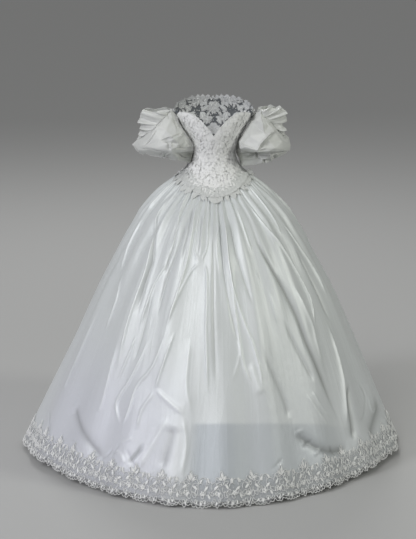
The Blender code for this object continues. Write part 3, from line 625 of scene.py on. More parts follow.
FRONT_TROUGHS = creases(
    -1000,
    (120, -80, -55.8, 196, -45.5, 288, -40.5, 368, -40.3, 452, -39.5, 570),
    (90, -65, -30.5, 224, -28.5, 312, -30.4, 410), (80, -60, -23, 168, -20.2, 254, -21.2, 350),
    (60, -50, -11.5, 188, -10.5, 266, -10.7, 340),
    (90, -60, 4.5, 166, 4.6, 278, 5.4, 412, 8, 546, 10.4, 650),
    (90, -50, -34.5, 470, -34, 600, -34.8, 720),
    (120, -60, -24, 180, -24.5, 300, -28, 430, -28.5, 560),
    (130, -60, -1.5, 170, -1.2, 320, -0.8, 560, 1, 800), (120, -70, 13, 180, 14, 330, 19, 520),
    (160, -115, 31, 190, 30.6, 298, 34.6, 390, 38.2, 460, 41, 560, 42.2, 650, 45, 750, 48.2, 870,
     51.5, 990), (140, -58, 19.1, 640, 26, 813, 27.6, 900),
    (110, -55, 33, 560, 37.5, 690, 41.5, 800), (160, -80, 60, 330, 63, 480, 64, 620),
    (220, -90, -60, 920, -56.3, 952, -44.3, 1023, -37, 1060),
    (210, -115, 62.5, 835, 58.8, 880, 57, 930, 55.6, 1000, 53.8, 1040),
    (80, -40, 69.8, 851, 72, 915, 66.2, 971, 58.9, 985),
    (400, -105, 82, 950, 73.2, 1008, 64.2, 1064),
    (50, 40, 74.4, 915, 72.8, 965, 74.4, 985, 80, 960),
    (220, -110, 27.8, 938, 31.8, 976, 36.2, 1016, 41.2, 1042, 47, 1052, 51.8, 1050),
    (50, 40, 28.4, 956, 32.6, 946), (50, -50, 31, 1006, 35.4, 986), (50, 40, 34, 1040, 39, 1020),
    (50, -50, 42, 1022, 44.6, 1070), (50, -60, -39.4, 1066, -36.2, 1044, -34.3, 1010),
    (50, -60, -27, 1054, -24.8, 1020, -23.3, 990),
    (50, 50, -33.6, 1012, -30.2, 1030, -27.6, 1060), (60, -60, -77, 980, -71, 1008, -65, 1070),
    (200, 45, -15.1, 867, -19.9, 976, -23.4, 1069), (300, -70, -13.4, 905, -14, 965, -15.8, 1062),
    (90, 45, -10.4, 870, -8.4, 968, -9.2, 1081), (50, -40, -22.7, 975, -26.3, 1045),
    (60, -40, -31.6, 990, -34.6, 1050), (50, 30, -27.1, 965, -31.6, 992),
    (50, -40, -23, 1080, -28.7, 1005), (40, -40, 22.5, 1026, 17.9, 1060),
)


def rounded_line(line, steps=3):
    """More points along a line, so that it bends instead of breaking."""
    line = np.asarray(line, float)
    at = np.arange(len(line))
    fine = np.linspace(0, len(line) - 1, (len(line) - 1) * steps + 1)
    if len(line) < 3:
        return np.stack([np.interp(fine, at, line[:, i]) for i in (0, 1)], -1)
    return np.stack([smooth_curve(at, line[:, i])(fine) for i in (0, 1)], -1)


def add_crease(relief, across, up, scale, crease, slim=0.66):
    """Press one crease into a part of a relief; scale is metres per unit across and up."""
    line = rounded_line(crease.line)
    nearest = np.full(relief.shape, 1e9)
    share = np.zeros(relief.shape)
    for i, (first, last) in enumerate(zip(line[:-1], line[1:])):
        dx, dy = (last[0] - first[0]) * scale[0], (last[1] - first[1]) * scale[1]
        px, py = (across - first[0]) * scale[0], (up - first[1]) * scale[1]
        t = np.clip((px * dx + py * dy) / (dx * dx + dy * dy + 1e-12), 0, 1)
        away = np.hypot(px - t * dx, py - t * dy)
        share = np.where(away < nearest, (i + t) / (len(line) - 1), share)
        nearest = np.minimum(away, nearest)
    fade = ease(np.minimum(share, 1 - share), 0.0, 0.22)
    relief += crease.height * np.exp(-(nearest / (slim * crease.width)) ** 1.3) * fade


print("hand-laid creases:", len(FRONT_CREASES) + len(FRONT_TROUGHS))

# %% Creases of the back
BACK_LEANS = (3.0, -2.0, 1.0, -3.0, 2.0, -1.0, 0.5)


def back_creases():
    """Like those in front, from the same kind of gathers; none of them repeats."""
    made = []
    for k, angle in enumerate(range(98, 263, 11)):
        lean = BACK_LEANS[k % len(BACK_LEANS)]
        top = -0.10 - 0.02 * (k % 3)
        low = -0.42 - 0.11 * ((3 * k) % 5)
        line = ((angle - lean, top), (angle + 0.4 * lean, 0.55 * top + 0.45 * low),
                (angle + 1.3 * lean, low))
        made.append(Crease(line, 0.0050 + 0.0007 * (k % 3), 0.0080 - 0.0006 * (k % 4)))
        made.append(Crease(((angle + 4.2, top - 0.10), (angle + 5.0 + lean, low - 0.06)),
                           0.014, -0.0075))
    return made


BACK_CREASES = back_creases()
MAP_FINE = 4
MAP_ROWS = 565
MAP_LOW, MAP_HIGH, MAP_SPAN = -1.18, -0.05, 1.13


def crease_map(laid):
    """All the creases as heights over a fine grid of angles and heights of the skirt."""
    angles = np.linspace(-180, 180, 360 * MAP_FINE + 1)
    heights = np.linspace(MAP_LOW, MAP_HIGH, MAP_ROWS + 1)
    relief = np.zeros((len(angles), len(heights)))
    for crease in laid:
        line = np.asarray(crease.line)
        middle = 0.5 * (line[:, 0].min() + line[:, 0].max())
        turn = turned(middle) - middle
        line = line + (turn, 0)
        reach = np.degrees(5 * crease.width / 0.2)
        i = np.searchsorted(angles, (line[:, 0].min() - reach, line[:, 0].max() + reach))
        k = np.searchsorted(heights, (line[:, 1].min() - 0.04, line[:, 1].max() + 0.04))
        z = heights[None, k[0]:k[1]]
        scale = (np.radians(form_radius(middle + turn, z)), 1.05)
        block = relief[i[0]:i[1], k[0]:k[1]]
        add_crease(block, angles[i[0]:i[1], None], z, scale, crease._replace(line=line),
                   0.50 + 0.25 * ease(-z, 0.35, 0.85))
    return relief


CREASE_MAP = crease_map(FRONT_CREASES + FRONT_TROUGHS + tuple(BACK_CREASES))


def skirt_creases(angle, z):
    """Read the map between its points."""
    x = (turned(angle) + 180) * MAP_FINE
    y = np.clip((z - MAP_LOW) / MAP_SPAN * MAP_ROWS, 0, MAP_ROWS - 0.001)
    i, k = np.clip(x.astype(int), 0, 360 * MAP_FINE - 1), y.astype(int)
    x, y = x - i, y - k
    low = CREASE_MAP[i, k] * (1 - x) + CREASE_MAP[i + 1, k] * x
    high = CREASE_MAP[i, k + 1] * (1 - x) + CREASE_MAP[i + 1, k + 1] * x
    return low * (1 - y) + high * y


def fine_gathers(angle, drop):
    """Tight little pleats under the waist seam, and broader ones that reach further down."""
    a = np.radians(angle)
    wander = 24 * a + 1.9 * np.sin(3 * a + 0.5) + 1.3 * np.sin(11 * a) + 1.2 * drop
    reach = 0.12 + 0.07 * np.sin(9 * a + 1) + 0.04 * np.sin(23 * a)
    broad = ease(drop, 0.004, 0.04) * (1 - ease(drop, 0.4 * reach, 1.5 * reach))
    wave = np.sin(wander)
    deep = 0.0034 * (0.75 + 0.35 * np.sin(5 * a + 0.6) + 0.25 * np.sin(13 * a + 2))
    pleats = deep * broad * (1 - np.abs(wave) ** 0.8 * 1.6 + 0.3 * wave)
    uneven = 71 * a + 2.6 * np.sin(7 * a) + 1.7 * np.sin(17 * a + 1)
    tight = ease(drop, 0.0, 0.012) * (1 - ease(drop, 0.03, 0.12 + 0.04 * np.sin(5 * a)))
    return 0.0008 * tight * np.sin(uneven) + pleats


print("back creases:", len(BACK_CREASES))

# %% Lay the two skirt panels
SATIN_HEM_LIFT = 0.024
ROW_CROWDING = 1.15
SEAM_GAP = 0.0003
TOP_INSET = 0.0012 + SEAM_GAP + 0.0002


def satin_drop(angle):
    """How far the satin falls from the waist seam to its own hem."""
    return seam_height(angle) - 2 * SEAM_GAP - hem_height(angle) - SATIN_HEM_LIFT


def skirt_point(angle, drop, lay=0.0):
    z = seam_height(angle) - 2 * SEAM_GAP - drop
    out = broad_folds(angle, drop) + fine_gathers(angle, drop) + 0.9 * skirt_creases(angle, z)
    return on_form(angle, z, out - TOP_INSET + lay)


def skirt_panel(name, first, columns, rows, node):
    def spot(u, v):
        """Angle and drop of a place of the cloth; its rows crowd toward the waist."""
        angle = first + 180 * u
        return angle, satin_drop(angle) * v**ROW_CROWDING

    def place(u, v):
        return skirt_point(*spot(u, v))

    # Painted shade: a darker band low on the skirt's front, where the satin falls steeper and gets
    # less light.
    def painted_hem_shade(u, v):
        angle, drop = spot(u, v)
        around = turned(angle)
        top = -0.888 - 0.066 * (np.abs(around) / 45) ** 2
        reach = 1 - ease(np.abs(around), 30, 62)
        left_edge = ease(around, -9, -4) * (1 - 0.4 * ease(around, 0, 14))
        return ease(top - seam_height(angle) + drop, -0.004, 0.010) * reach * left_edge

    def pressed(u, v):
        angle, drop = spot(u, v)
        return skirt_creases(angle, seam_height(angle) - drop)

    # Painted shade and highlight: the base colour darkens in the pressed troughs and lightens on
    # the pressed ridges, where shade and highlight would fall.
    def crease_shade(u, v):
        return np.clip(-pressed(u, v) / 0.011, 0, 1) ** 1.4

    def painted_crease_highlight(u, v):
        return np.clip(pressed(u, v) / 0.009, 0, 1) ** 1.6

    # Painted light: a lavender tint of reflected light, low on the skirt at the wearer's right.
    def painted_lilac_light(u, v):
        angle = turned(first + 180 * u)
        return ease(v, 0.50, 0.85) * ease(angle, -95, -60) * (1 - 0.75 * ease(angle, -25, -5))

    marks = {f.__name__: f for f in (painted_hem_shade, painted_lilac_light, crease_shade, painted_crease_highlight)}
    return lay_cloth(name, columns, rows, place, (2.3, 1.15), "satin", satin, node, marks)


skirt_front = skirt_panel("satin_skirt_front", -90, 490, 200, "skirt_front")
skirt_back = skirt_panel("satin_skirt_back", 90, 300, 120, "skirt_back")
for piece in (skirt_front, skirt_back):
    print(piece.name, len(piece.data.polygons), "faces")

# %% [markdown]
# ## Lace motifs
# Bridal lace is made of a few small motifs, used over and over: a leaf, a petal and a
# bead. Each is modelled once, flat, a few dozen faces, with a raised cord round its edge.
# Then it is stamped on the dress in many places, turned and sized a little differently
# each time.

# %% Model the motifs flat
def flat_motif(segments, length, width, point, cord, dish, vein=0.0):
    """A petal or leaf from its foot at the origin, along +X: a raised cord round a fill."""
    form = bmesh.new()
    bmesh.ops.create_circle(form, cap_ends=True, segments=segments, radius=1.0)
    for vert in form.verts:
        x, y = vert.co.x, vert.co.y
        narrow = 1 - point * max(0.0, x) ** 2 - 0.35 * point * max(0.0, -x) ** 2
        vert.co = Vector(((x + 1) * length / 2, y * narrow * width / 2, 0))
    rim = bmesh.ops.inset_region(form, faces=form.faces[:], thickness=cord, depth=cord * 0.8)
    middle = [f for f in form.faces if f not in rim["faces"]]
    bed = bmesh.ops.inset_region(form, faces=middle, thickness=cord * 0.7, depth=-dish)
    centre = [f for f in form.faces if f not in rim["faces"] and f not in bed["faces"]]
    for face in centre:
        face.material_index = 1
    bmesh.ops.poke(form, faces=centre, offset=dish * 0.4)
    if vein:
        line = bmesh.ops.create_circle(form, cap_ends=True, segments=6, radius=1.0)["verts"]
        bmesh.ops.scale(form, vec=(0.36 * length, vein, 1), verts=line)
        bmesh.ops.translate(form, vec=(0.47 * length, 0, cord * 0.9), verts=line)
    return motif_arrays(form)


def motif_arrays(form):
    form.normal_update()
    form.verts.index_update()
    points = np.array([v.co[:] for v in form.verts])
    faces = [[v.index for v in f.verts] for f in form.faces]
    fills = [f.material_index for f in form.faces]
    form.free()
    return points, faces, fills


def bead_motif(radius):
    form = bmesh.new()
    bmesh.ops.create_icosphere(form, subdivisions=1, radius=radius)
    bmesh.ops.translate(form, vec=(0, 0, radius * 0.6), verts=form.verts)
    return motif_arrays(form)


LEAF = flat_motif(14, 0.036, 0.016, 0.72, 0.0013, 0.0009, vein=0.0009)
PETAL = flat_motif(10, 0.015, 0.013, 0.12, 0.0013, 0.0009)
SMALL_LEAF = flat_motif(8, 0.017, 0.0075, 0.7, 0.0010, 0.0007)
BACK_LEAF = flat_motif(14, 0.038, 0.018, 0.72, 0.0024, 0.0012, vein=0.0016)
WAIST_PETAL = flat_motif(12, 0.030, 0.016, 0.45, 0.0018, 0.0009)
BACK_PETAL = flat_motif(10, 0.017, 0.015, 0.12, 0.0022, 0.0010)
BEAD = bead_motif(0.0017)
print("faces of a leaf, petal, bead:", len(LEAF[1]), len(PETAL[1]), len(BEAD[1]))


# %% Stamp motifs
Stamp = namedtuple("Stamp", "motif place turn size shift lift tilt", defaults=(0.0, 0.0, 0.0))


def stamp(name, stamps, surface, material, nodes=(), fill=None):
    """Join many copies of flat motifs, then lay them all on the surface at once."""
    flat, faces, fills = [], [], []
    start = 0
    for s in stamps:
        points, sides, inner = s.motif
        x = points[:, 0] * s.size + s.shift
        y = points[:, 1] * s.size
        rows = np.empty((len(points), 5))
        rows[:, 0:2] = s.place
        rows[:, 2] = math.cos(s.turn) * x - math.sin(s.turn) * y
        rows[:, 3] = math.sin(s.turn) * x + math.cos(s.turn) * y
        rows[:, 4] = (points[:, 2] + s.tilt * points[:, 0]) * s.size + s.lift
        flat.append(rows)
        faces += [[i + start for i in side] for side in sides]
        fills += inner
        start += len(points)
    mesh = bpy.data.meshes.new(name)
    mesh.from_pydata(surface(*np.concatenate(flat).T).tolist(), [], faces)
    mesh.shade_smooth()
    mesh.materials.append(material)
    if any(fills):
        mesh.materials.append(fill or lace_fill)
        mesh.polygons.foreach_set("material_index", fills)
    return keep_piece(name, mesh, nodes)


def arc(centre, size, start, swing, steps, squash=1.0, shrink=0.0):
    """A flat arc, and a spiral where it shrinks on its way."""
    t = np.linspace(0, 1, steps)
    a = start + swing * t
    reach = size * (1 - shrink * t)
    return np.stack((centre[0] + reach * np.cos(a), centre[1] + squash * reach * np.sin(a)), -1)


def laid_lines(surface, lines):
    """Lay many flat lines on a surface at once."""
    ends = np.cumsum([len(line) for line in lines])[:-1]
    return np.split(surface(*np.concatenate(lines).T), ends)


LACE_CORD = 0.0022
HEM_CORD = 0.0023
EDGE_CORD = 0.0028
LOOP_CORD = 0.0014


def cord_piece(name, lines, thickness, sides=1):
    """Lay a round cord along each line of points."""
    curve = bpy.data.curves.new(name, "CURVE")
    curve.dimensions = "3D"
    curve.bevel_depth = thickness / 2
    curve.bevel_resolution = sides
    curve.use_fill_caps = True
    for line in lines:
        spline = curve.splines.new("POLY")
        spline.points.add(len(line) - 1)
        spline.points.foreach_set("co", np.c_[line, np.ones(len(line))].ravel())
    shape = bpy.data.objects.new(name + "_line", curve)
    bpy.context.scene.collection.objects.link(shape)
    bpy.context.view_layer.update()
    mesh = bpy.data.meshes.new_from_object(shape.evaluated_get(
        bpy.context.evaluated_depsgraph_get()))
    bpy.data.objects.remove(shape)
    mesh.name = name
    mesh.materials.clear()
    mesh.materials.append(lace_thread)
    mesh.shade_smooth()
    return keep_piece(name, mesh)


def flower(place, turn, size, petals=5, shift=0.002, lift=0.0, tilt=0.0, petal=PETAL):
    return [Stamp(petal, place, turn + 2 * math.pi * k / petals, size, shift, lift, tilt)
            for k in range(petals)]


# %% [markdown]
# ## The bodice
# Seven shaped panels, each a lined wall with a small groove at its seams. Over them lies
# the lace: flowers in a half-drop layout, leaves between them, curled cords and beads.

# %% Bodice panels
BODICE_RADIUS = 0.1
PANEL_WALL = 0.0018


def bodice_panel(name, first, last, node):
    width = math.radians(last - first) * BODICE_RADIUS

    def place(u, v):
        angle = first + (last - first) * u
        top = neck_height(angle)
        z = top + (seam_height(angle) - top) * v
        edge = np.minimum(u, 1 - u) * width
        groove = -0.0009 * np.exp(-(edge / 0.0016) ** 2)
        puff = 0.0004 * np.sin(z / 0.0115) * np.sin(np.radians(angle) * BODICE_RADIUS / 0.0105)
        return on_form(angle, z, groove + puff)

    columns = round((last - first) / 1.5)
    piece = lay_cloth(name, columns, 64, place, (width, 0.24), "lace", lace_ground, node)
    return lined(piece, PANEL_WALL)


bodice = [bodice_panel("bodice_front_panel", -30, 30, "bodice_front")]
for side, letter in ((1, "L"), (-1, "R")):
    for label, start, end in (("side_front", 30, 84), ("side_back", 84, 138), ("back", 138, 180)):
        first, last = sorted((side * start, side * end))
        bodice.append(bodice_panel(f"bodice_{label}_panel_{letter}", first, last,
                                   f"bodice_{label}_{letter}"))
print("bodice panels:", len(bodice))


# %% Lace over the bodice
MOTIF_ACROSS = 0.046
MOTIF_DOWN = 0.050
SMALL_MOTIFS = 900
LEAF_REACH = 0.021
# The lace ends this many degrees from the centre front, at the button band.
LACE_END = 174


def over_bodice(angle, z, across, up, lift):
    return on_form(beside(angle, z, across), z + up, 0.0010 + lift)


def lined_area(angle, z, margin=0.004):
    return seam_height(angle) + margin < z < neck_height(angle) - margin


def curl(place, turn, size):
    """A cord that curls into a spiral round its place."""
    flat = arc((0, 0), size, turn, 5.2, 14, shrink=0.75)
    return np.c_[np.tile(place, (14, 1)), flat, np.full(14, 0.0008)]


bodice_flowers, bodice_curls, bodice_beads = [], [], []
for row in range(-3, 5):
    for k in range(-7, 8):
        angle = math.degrees((k + 0.5 * (row % 2)) * MOTIF_ACROSS / BODICE_RADIUS)
        z = row * MOTIF_DOWN
        if abs(angle) > LACE_END or not lined_area(angle, z, -0.004):
            continue
        turn = draw(0, FULL_TURN)
        size = draw(0.95, 1.2)
        spots = flower((angle, z), turn, 1.1 * size, lift=0.0006, tilt=0.10)
        spots += flower((angle, z), turn + 0.6, 0.55 * size, 4, 0.001, 0.0014, 0.22)
        for j in range(4):
            way = turn + 0.4 + j * 1.57 + draw(-0.3, 0.3)
            spots.append(Stamp(SMALL_LEAF, (angle, z), way, 1.3 * size, 0.016, 0.0004, 0.08))
            bodice_curls.append(((angle, z), way + 0.9, 0.0095 * size, way))
        bodice_flowers += spots
        for j in range(14):
            reach = draw(0.002, 0.026)
            bodice_beads.append(Stamp(BEAD, (angle, z), draw(0, FULL_TURN),
                                      draw(0.6, 1.0), reach, 0.0008))


for _ in range(SMALL_MOTIFS):
    spot = (draw(-LACE_END, LACE_END), draw(-0.12, 0.17))
    bodice_flowers.append(Stamp(SMALL_LEAF if chance.random() < 0.6 else PETAL, spot,
                                draw(0, FULL_TURN), draw(0.55, 0.85),
                                0.0, 0.0012, 0.10))


def inside_panels(s):
    angle, z = s.place
    reach = s.shift + 0.009 * s.size
    angle = angle + math.degrees(reach * math.cos(s.turn) / float(SIDE(z)))
    return lined_area(angle, z + reach * math.sin(s.turn)) and abs(angle) < LACE_END + 2


bodice_flowers = [s for s in bodice_flowers if inside_panels(s)]
bodice_beads = [s for s in bodice_beads if inside_panels(s)]
stamp("bodice_lace_flowers", bodice_flowers, over_bodice, lace_thread)
stamp("bodice_beads", bodice_beads, over_bodice, pearl)


def curl_lines():
    lines = []
    for place, turn, size, way in bodice_curls:
        angle, z = place
        angle += math.degrees(LEAF_REACH * math.cos(way) / float(SIDE(z)))
        z += LEAF_REACH * math.sin(way)
        if lined_area(angle, z, 0.012) and abs(angle) < LACE_END - 2:
            lines.append(curl((angle, z), turn, size))
    return laid_lines(over_bodice, lines)


cord_piece("bodice_lace_cords", curl_lines(), LACE_CORD)
print("bodice lace:", len(bodice_flowers), "petals and leaves,", len(bodice_beads), "beads")


# %% [markdown]
# ## The edge cord of the neckline
# The lobes of the neckline are bound with a fine corded edge.

# %% Neckline cord
round_neck = np.linspace(-180, 180, 361)
neckline_cord = cord_piece("neckline_cord", [on_form(round_neck, neck_height(round_neck), 0.0004)],
                           LACE_CORD)
print("neckline cord:", len(neckline_cord.data.polygons), "faces")

# %% [markdown]
# ## Waist petals
# The bodice lace ends in pointed leaves that lie over the skirt's gathers. They hang from
# the waist seam, fan out a little, and no two are alike.

# %% Lay the waist petals
PETAL_FALLS = (0.013, 0.031, 0.017, 0.024, 0.036)
PETAL_STEP = 3.4


def over_waist(angle, z, across, up, lift):
    around = beside(angle, z, across)
    height = z + up * 0.9
    drop = np.maximum(seam_height(around) - height, 0)
    rise = 0.0008 + 0.0006 * ease(drop / 0.03, 0, 1)
    return on_form(around, height, rise + lift)


def waist_leaves(first, last):
    leaves = []
    for k, angle in enumerate(np.arange(first + 1.8, last - 1, PETAL_STEP)):
        fall = PETAL_FALLS[k % 5]
        way = -math.pi / 2 + draw(-0.5, 0.5)
        place = (float(angle), float(seam_height(angle)) + 0.005)
        if k % 2:
            leaves.append(Stamp(LEAF, place, way, fall / 0.036 + 0.22, 0, 0.0003, 0.02))
        else:
            leaves.append(Stamp(WAIST_PETAL, place, way, fall / 0.030 + 0.30, 0, 0.0, 0.02))
        leaves.append(Stamp(PETAL, place, way - 0.7, 1.35, 0, 0, 0.12))
        leaves.append(Stamp(PETAL, place, way + 0.7, 1.3, 0.001, 0.0008, 0.14))
        if k % 2 == 0:
            leaves += flower((float(angle) + 1.0, place[1] + 0.004), way, 0.85, lift=0.0010,
                             tilt=0.2)
        if k % 3 == 0:
            leaves.append(Stamp(SMALL_LEAF, place, way + 0.25, 1.0, 0.020 + 0.2 * fall, 0.0015))
    return leaves


def off_waist(angle, z, across, up, lift):
    """Leaves that stand off the dress, seen from the side."""
    return on_form(angle + np.degrees(lift / 0.13), z + up, across - 0.002)


SIDE_LEAVES = (
    Stamp(LEAF, (88, -0.079), 0.08, 0.72), Stamp(SMALL_LEAF, (91, -0.084), -0.30, 0.9),
    Stamp(SMALL_LEAF, (-88, -0.070), 0.45, 0.85), Stamp(SMALL_LEAF, (-92, -0.078), 0.15, 0.7),
)
stamp("waist_side_leaves", SIDE_LEAVES, off_waist, lace_thread)

for label, first in (("front", -90), ("back", 90)):
    piece = stamp(f"waist_lace_{label}", waist_leaves(first, first + 180), over_waist,
                  lace_thread, (f"waist_petals_{label}",), fill=petal_fill)
    print(piece.name, len(piece.data.polygons), "faces")

# %% [markdown]
# ## The sheer back
# From the bodice's edge to the shoulder blades there is only net, with large leaves and
# flowers on it. The net is a see-through sheet; the motifs are solid and hide its edge.

# %% Net and motifs of the back
def yoke_panel(name, first, last, node):
    def place(u, v):
        angle = first + (last - first) * u
        low = neck_height(angle) + 2 * SEAM_GAP
        high = lace_top_height(angle) - 0.003
        return on_form(angle, high + (low - high) * v, 0.0)

    return lay_cloth(name, 90, 40, place, (0.19, 0.16), "net_lace", yoke_net, node)


YOKE_START = 72
yoke_panel("sheer_back_L", YOKE_START, 180, "yoke_L")
yoke_panel("sheer_back_R", 180, 360 - YOKE_START, "yoke_R")
# Each motif: its kind, angle, place from the net's lower edge up in hundredths, turn and size.
BACK_MOTIFS = (
    ("flower", 178, 22, 0.2, 1.3), ("rose", 160, 46, 1, 1.15), ("flower", 138, 30, 0.5, 1.2),
    ("rose", 118, 50, 2, 1.15), ("flower", 99, 44, 0.9, 1), ("rose", 180, 74, 0.3, 1.1),
    ("flower", 152, 86, 0.1, 1), ("rose", 132, 84, 1.2, 1), ("flower", 110, 86, 0.4, 0.95),
    ("leaf", 171, 88, 4.3, 1.05), ("leaf", 168, 62, 2.2, 1), ("leaf", 171, 50, 5.2, 0.95),
    ("leaf", 149, 62, 2.5, 1.1), ("leaf", 148, 60, 4.4, 1.1), ("leaf", 143, 96, 4.9, 0.9),
    ("leaf", 128, 62, 0.7, 1), ("leaf", 127, 56, 4, 1), ("leaf", 108, 70, 2.2, 0.95),
    ("leaf", 107, 66, 5, 0.95), ("leaf", 152, 20, 0.4, 0.95), ("leaf", 164, 16, 2.7, 0.9),
    ("leaf", 122, 18, 2.4, 0.9), ("leaf", 91, 40, 1.4, 0.8),
)


def over_yoke(angle, z, across, up, lift, side=1, gap=0.0009):
    return on_form(beside(angle, z, -across), z + up, side * (gap + lift))


def under_yoke(*spots):
    return over_yoke(*spots, side=-1, gap=0.0012)


def on_net(angle, share):
    """A place of the sheer back, from its lower edge up."""
    low, high = float(neck_height(angle)), float(lace_top_height(angle))
    return angle, low + (high - low) * share


def yoke_stamps():
    made = []
    for mirror in (1, -1):
        for kind, centre, share, way, size in BACK_MOTIFS:
            angle = mirror * (centre + (3 if mirror < 0 and centre < 170 else 0))
            place = on_net(angle, share / 100)
            turn = way if mirror > 0 else math.pi - way
            if kind == "leaf":
                made.append(Stamp(BACK_LEAF, place, turn, 0.95 * size, 0, 0, 0.05))
                made.append(Stamp(SMALL_LEAF, place, turn + 0.8, size, 0.004))
            elif kind == "rose":
                made += flower(place, turn, 0.55 * size, 6, 0.004, petal=BACK_LEAF)
                made += flower(place, turn + 0.5, 0.62 * size, 5, 0.001, 0.0014, 0.3)
            else:
                made += flower(place, turn, 1.05 * size, tilt=0.08, petal=BACK_PETAL)
                made += flower(place, turn + 0.6, 0.5 * size, 4, 0.001, 0.0014, 0.3)
        for k, at in enumerate(np.arange(84, 180, 6.5)):
            angle = mirror * float(at)
            place = (angle, float(lace_top_height(angle)) - 0.010)
            way = math.pi / 2 + (0.35 if k % 2 else -0.45)
            made.append(Stamp(SMALL_LEAF if k % 3 == 2 else PETAL, place, way, 1.1))
            made.append(Stamp(SMALL_LEAF, place, way + 1.2, 0.9))
    return made


FACES_OF_NET = (("", over_yoke), ("_inside", under_yoke))
for label, surface in FACES_OF_NET:
    stamp("back_lace_flowers" + label, yoke_stamps(), surface, lace_thread,
          fill=sheer_fill)


def yoke_beads():
    made = []
    for at in np.linspace(86, 274, 130):
        for share in chance.uniform(0.04, 0.97, 3):
            place = on_net(float(at), float(share))
            made.append(Stamp(BEAD, place, 0.0, draw(0.8, 1.5), 0.0, 0.0006))
    return made


for label, surface in FACES_OF_NET:
    stamp("back_beads" + label, yoke_beads(), surface, pearl)

# %% [markdown]
# ## Sleeves
# Crisp taffeta does not flow, it breaks into flat facets with straight folds between
# them. A coarse net of points, some pushed out and some drawn in, gives the facets. A fine
# cloth is laid on them, and a little smoothing rounds the folds off.

# %% Loops of the two sleeves
# Each loop round the arm, in mm: across and height of its inner end, then of its outer end, and
# how far it swells in front and behind.
SLEEVE_L = np.array((
    (147, 150, 222, 142, 50, 50), (144, 143, 232, 136, 68, 64), (139.5, 132, 240, 123, 86, 78),
    (125.5, 108, 250, 100, 102, 92), (108.5, 78, 269, 74, 112, 102),
    (93.5, 45, 289, 48, 116, 107), (86, 12, 293, 23, 110, 106), (92.5, -20, 272, 1, 92, 96),
    (108, -45, 246, -21, 72, 78), (126, -36, 218, -14, 48, 48),
)) / 1000
SLEEVE_R = np.array((
    (147, 150, 224, 142, 50, 50), (144, 143, 234, 135, 68, 64), (139.5, 132, 243, 121, 86, 78),
    (125.5, 108, 257, 97, 102, 92), (108.5, 78, 282, 70, 114, 102), (93.5, 45, 305, 43, 118, 107),
    (86, 13, 304, 20, 112, 106), (90.5, -12, 285, 5, 94, 96), (105, -28, 250, -6, 74, 78),
    (123, -19, 222, 0, 48, 48),
)) / 1000


LAST_ROW = 9.0


def loop_reader(loops):
    """Read a sleeve's loops at any row between 0, its top, and 9, its lower edge."""
    reads = [smooth_curve(range(len(loops)), column) for column in loops.T]

    def point(angle, row, out):
        a = np.radians(angle)
        inner_x, inner_z, outer_x, outer_z, front, back = (read(row) for read in reads)
        half = 0.5 * (outer_x - inner_x) + out
        depth = np.where(np.sin(a) > 0, front, back) + out
        share = 0.5 * (1 - np.cos(a))
        z = inner_z * (1 - share) + outer_z * share
        return np.stack((0.5 * (inner_x + outer_x) - half * np.cos(a), -depth * np.sin(a), z), -1)

    return point


sleeve_point = {1: loop_reader(SLEEVE_L), -1: loop_reader(SLEEVE_R)}
print("sleeve loops:", len(SLEEVE_L), len(SLEEVE_R))

# %% Peaks of the facets
# Each peak: its angle, its row in hundredths, and its place x, y and z in mm.
PEAK_UNITS = (1, 100, 1000, 1000, 1000)
PEAKS_L = np.array((
    (76, 35, 181, -46, 185), (49, 30, 164, -36, 169), (35, 220, 141, -40, 128),
    (31, 370, 115, -48, 89), (28, 470, 96, -50, 58), (33, 550, 100, -66, 30),
    (81, 55, 180, -64, 159), (56, 150, 161, -66, 140), (88, 210, 187, -92, 129),
    (94, 325, 192, -100, 96), (52, 385, 138, -90, 83), (45, 465, 119, -86, 59),
    (77, 535, 166, -124, 34), (86, 460, 183, -120, 59), (97, 400, 199, -114, 76),
    (110, 355, 214, -104, 89), (130, 310, 232, -82, 101), (81, 555, 175, -112, 30),
    (91, 480, 192, -104, 52), (107, 410, 209, -98, 69), (137, 335, 236, -72, 91),
    (104, 0, 196, -50, 159), (131, 100, 215, -50, 134), (156, 280, 239, -40, 104),
    (165, 395, 263, -28, 75), (174, 495, 287, -12, 49), (181, 575, 297, 2, 29),
    (181, 625, 294, 2, 13), (120, 215, 211, -72, 118), (145, 460, 261, -64, 55),
    (115, 535, 233, -104, 37), (143, 575, 269, -64, 29), (99, 525, 206, -112, 40),
    (48, 520, 115, -94, 40), (64, 540, 142, -110, 34), (77, 570, 166, -120, 28),
    (99, 590, 207, -110, 26), (125, 615, 245, -86, 23), (154, 640, 277, -46, 17),
    (24, 580, 109, -40, 16), (39, 620, 132, -50, 12), (67, 680, 158, -58, 10),
    (98, 695, 189, -66, 11), (114, 665, 215, -76, 15), (139, 670, 246, -58, 13),
    (165, 675, 276, -26, 9), (11, 645, 91, -20, -3), (21, 715, 105, -30, -20),
    (44, 710, 128, -52, -13), (68, 720, 154, -64, -9), (85, 735, 174, -68, -9),
    (97, 740, 187, -72, -11), (107, 770, 197, -66, -14), (108, 720, 206, -78, -6),
    (116, 695, 219, -78, 3), (132, 725, 230, -58, 0), (131, 690, 240, -68, 5),
    (150, 695, 258, -46, 3), (98, 795, 186, -70, -25), (112, 850, 196, -56, -28),
    (114, 795, 205, -66, -26), (23, 795, 111, -30, -46), (46, 835, 132, -46, -39),
    (77, 855, 162, -56, -35), (127, 790, 218, -58, -19), (148, 765, 240, -40, -11),
    (171, 725, 267, -14, -7),
)) / PEAK_UNITS
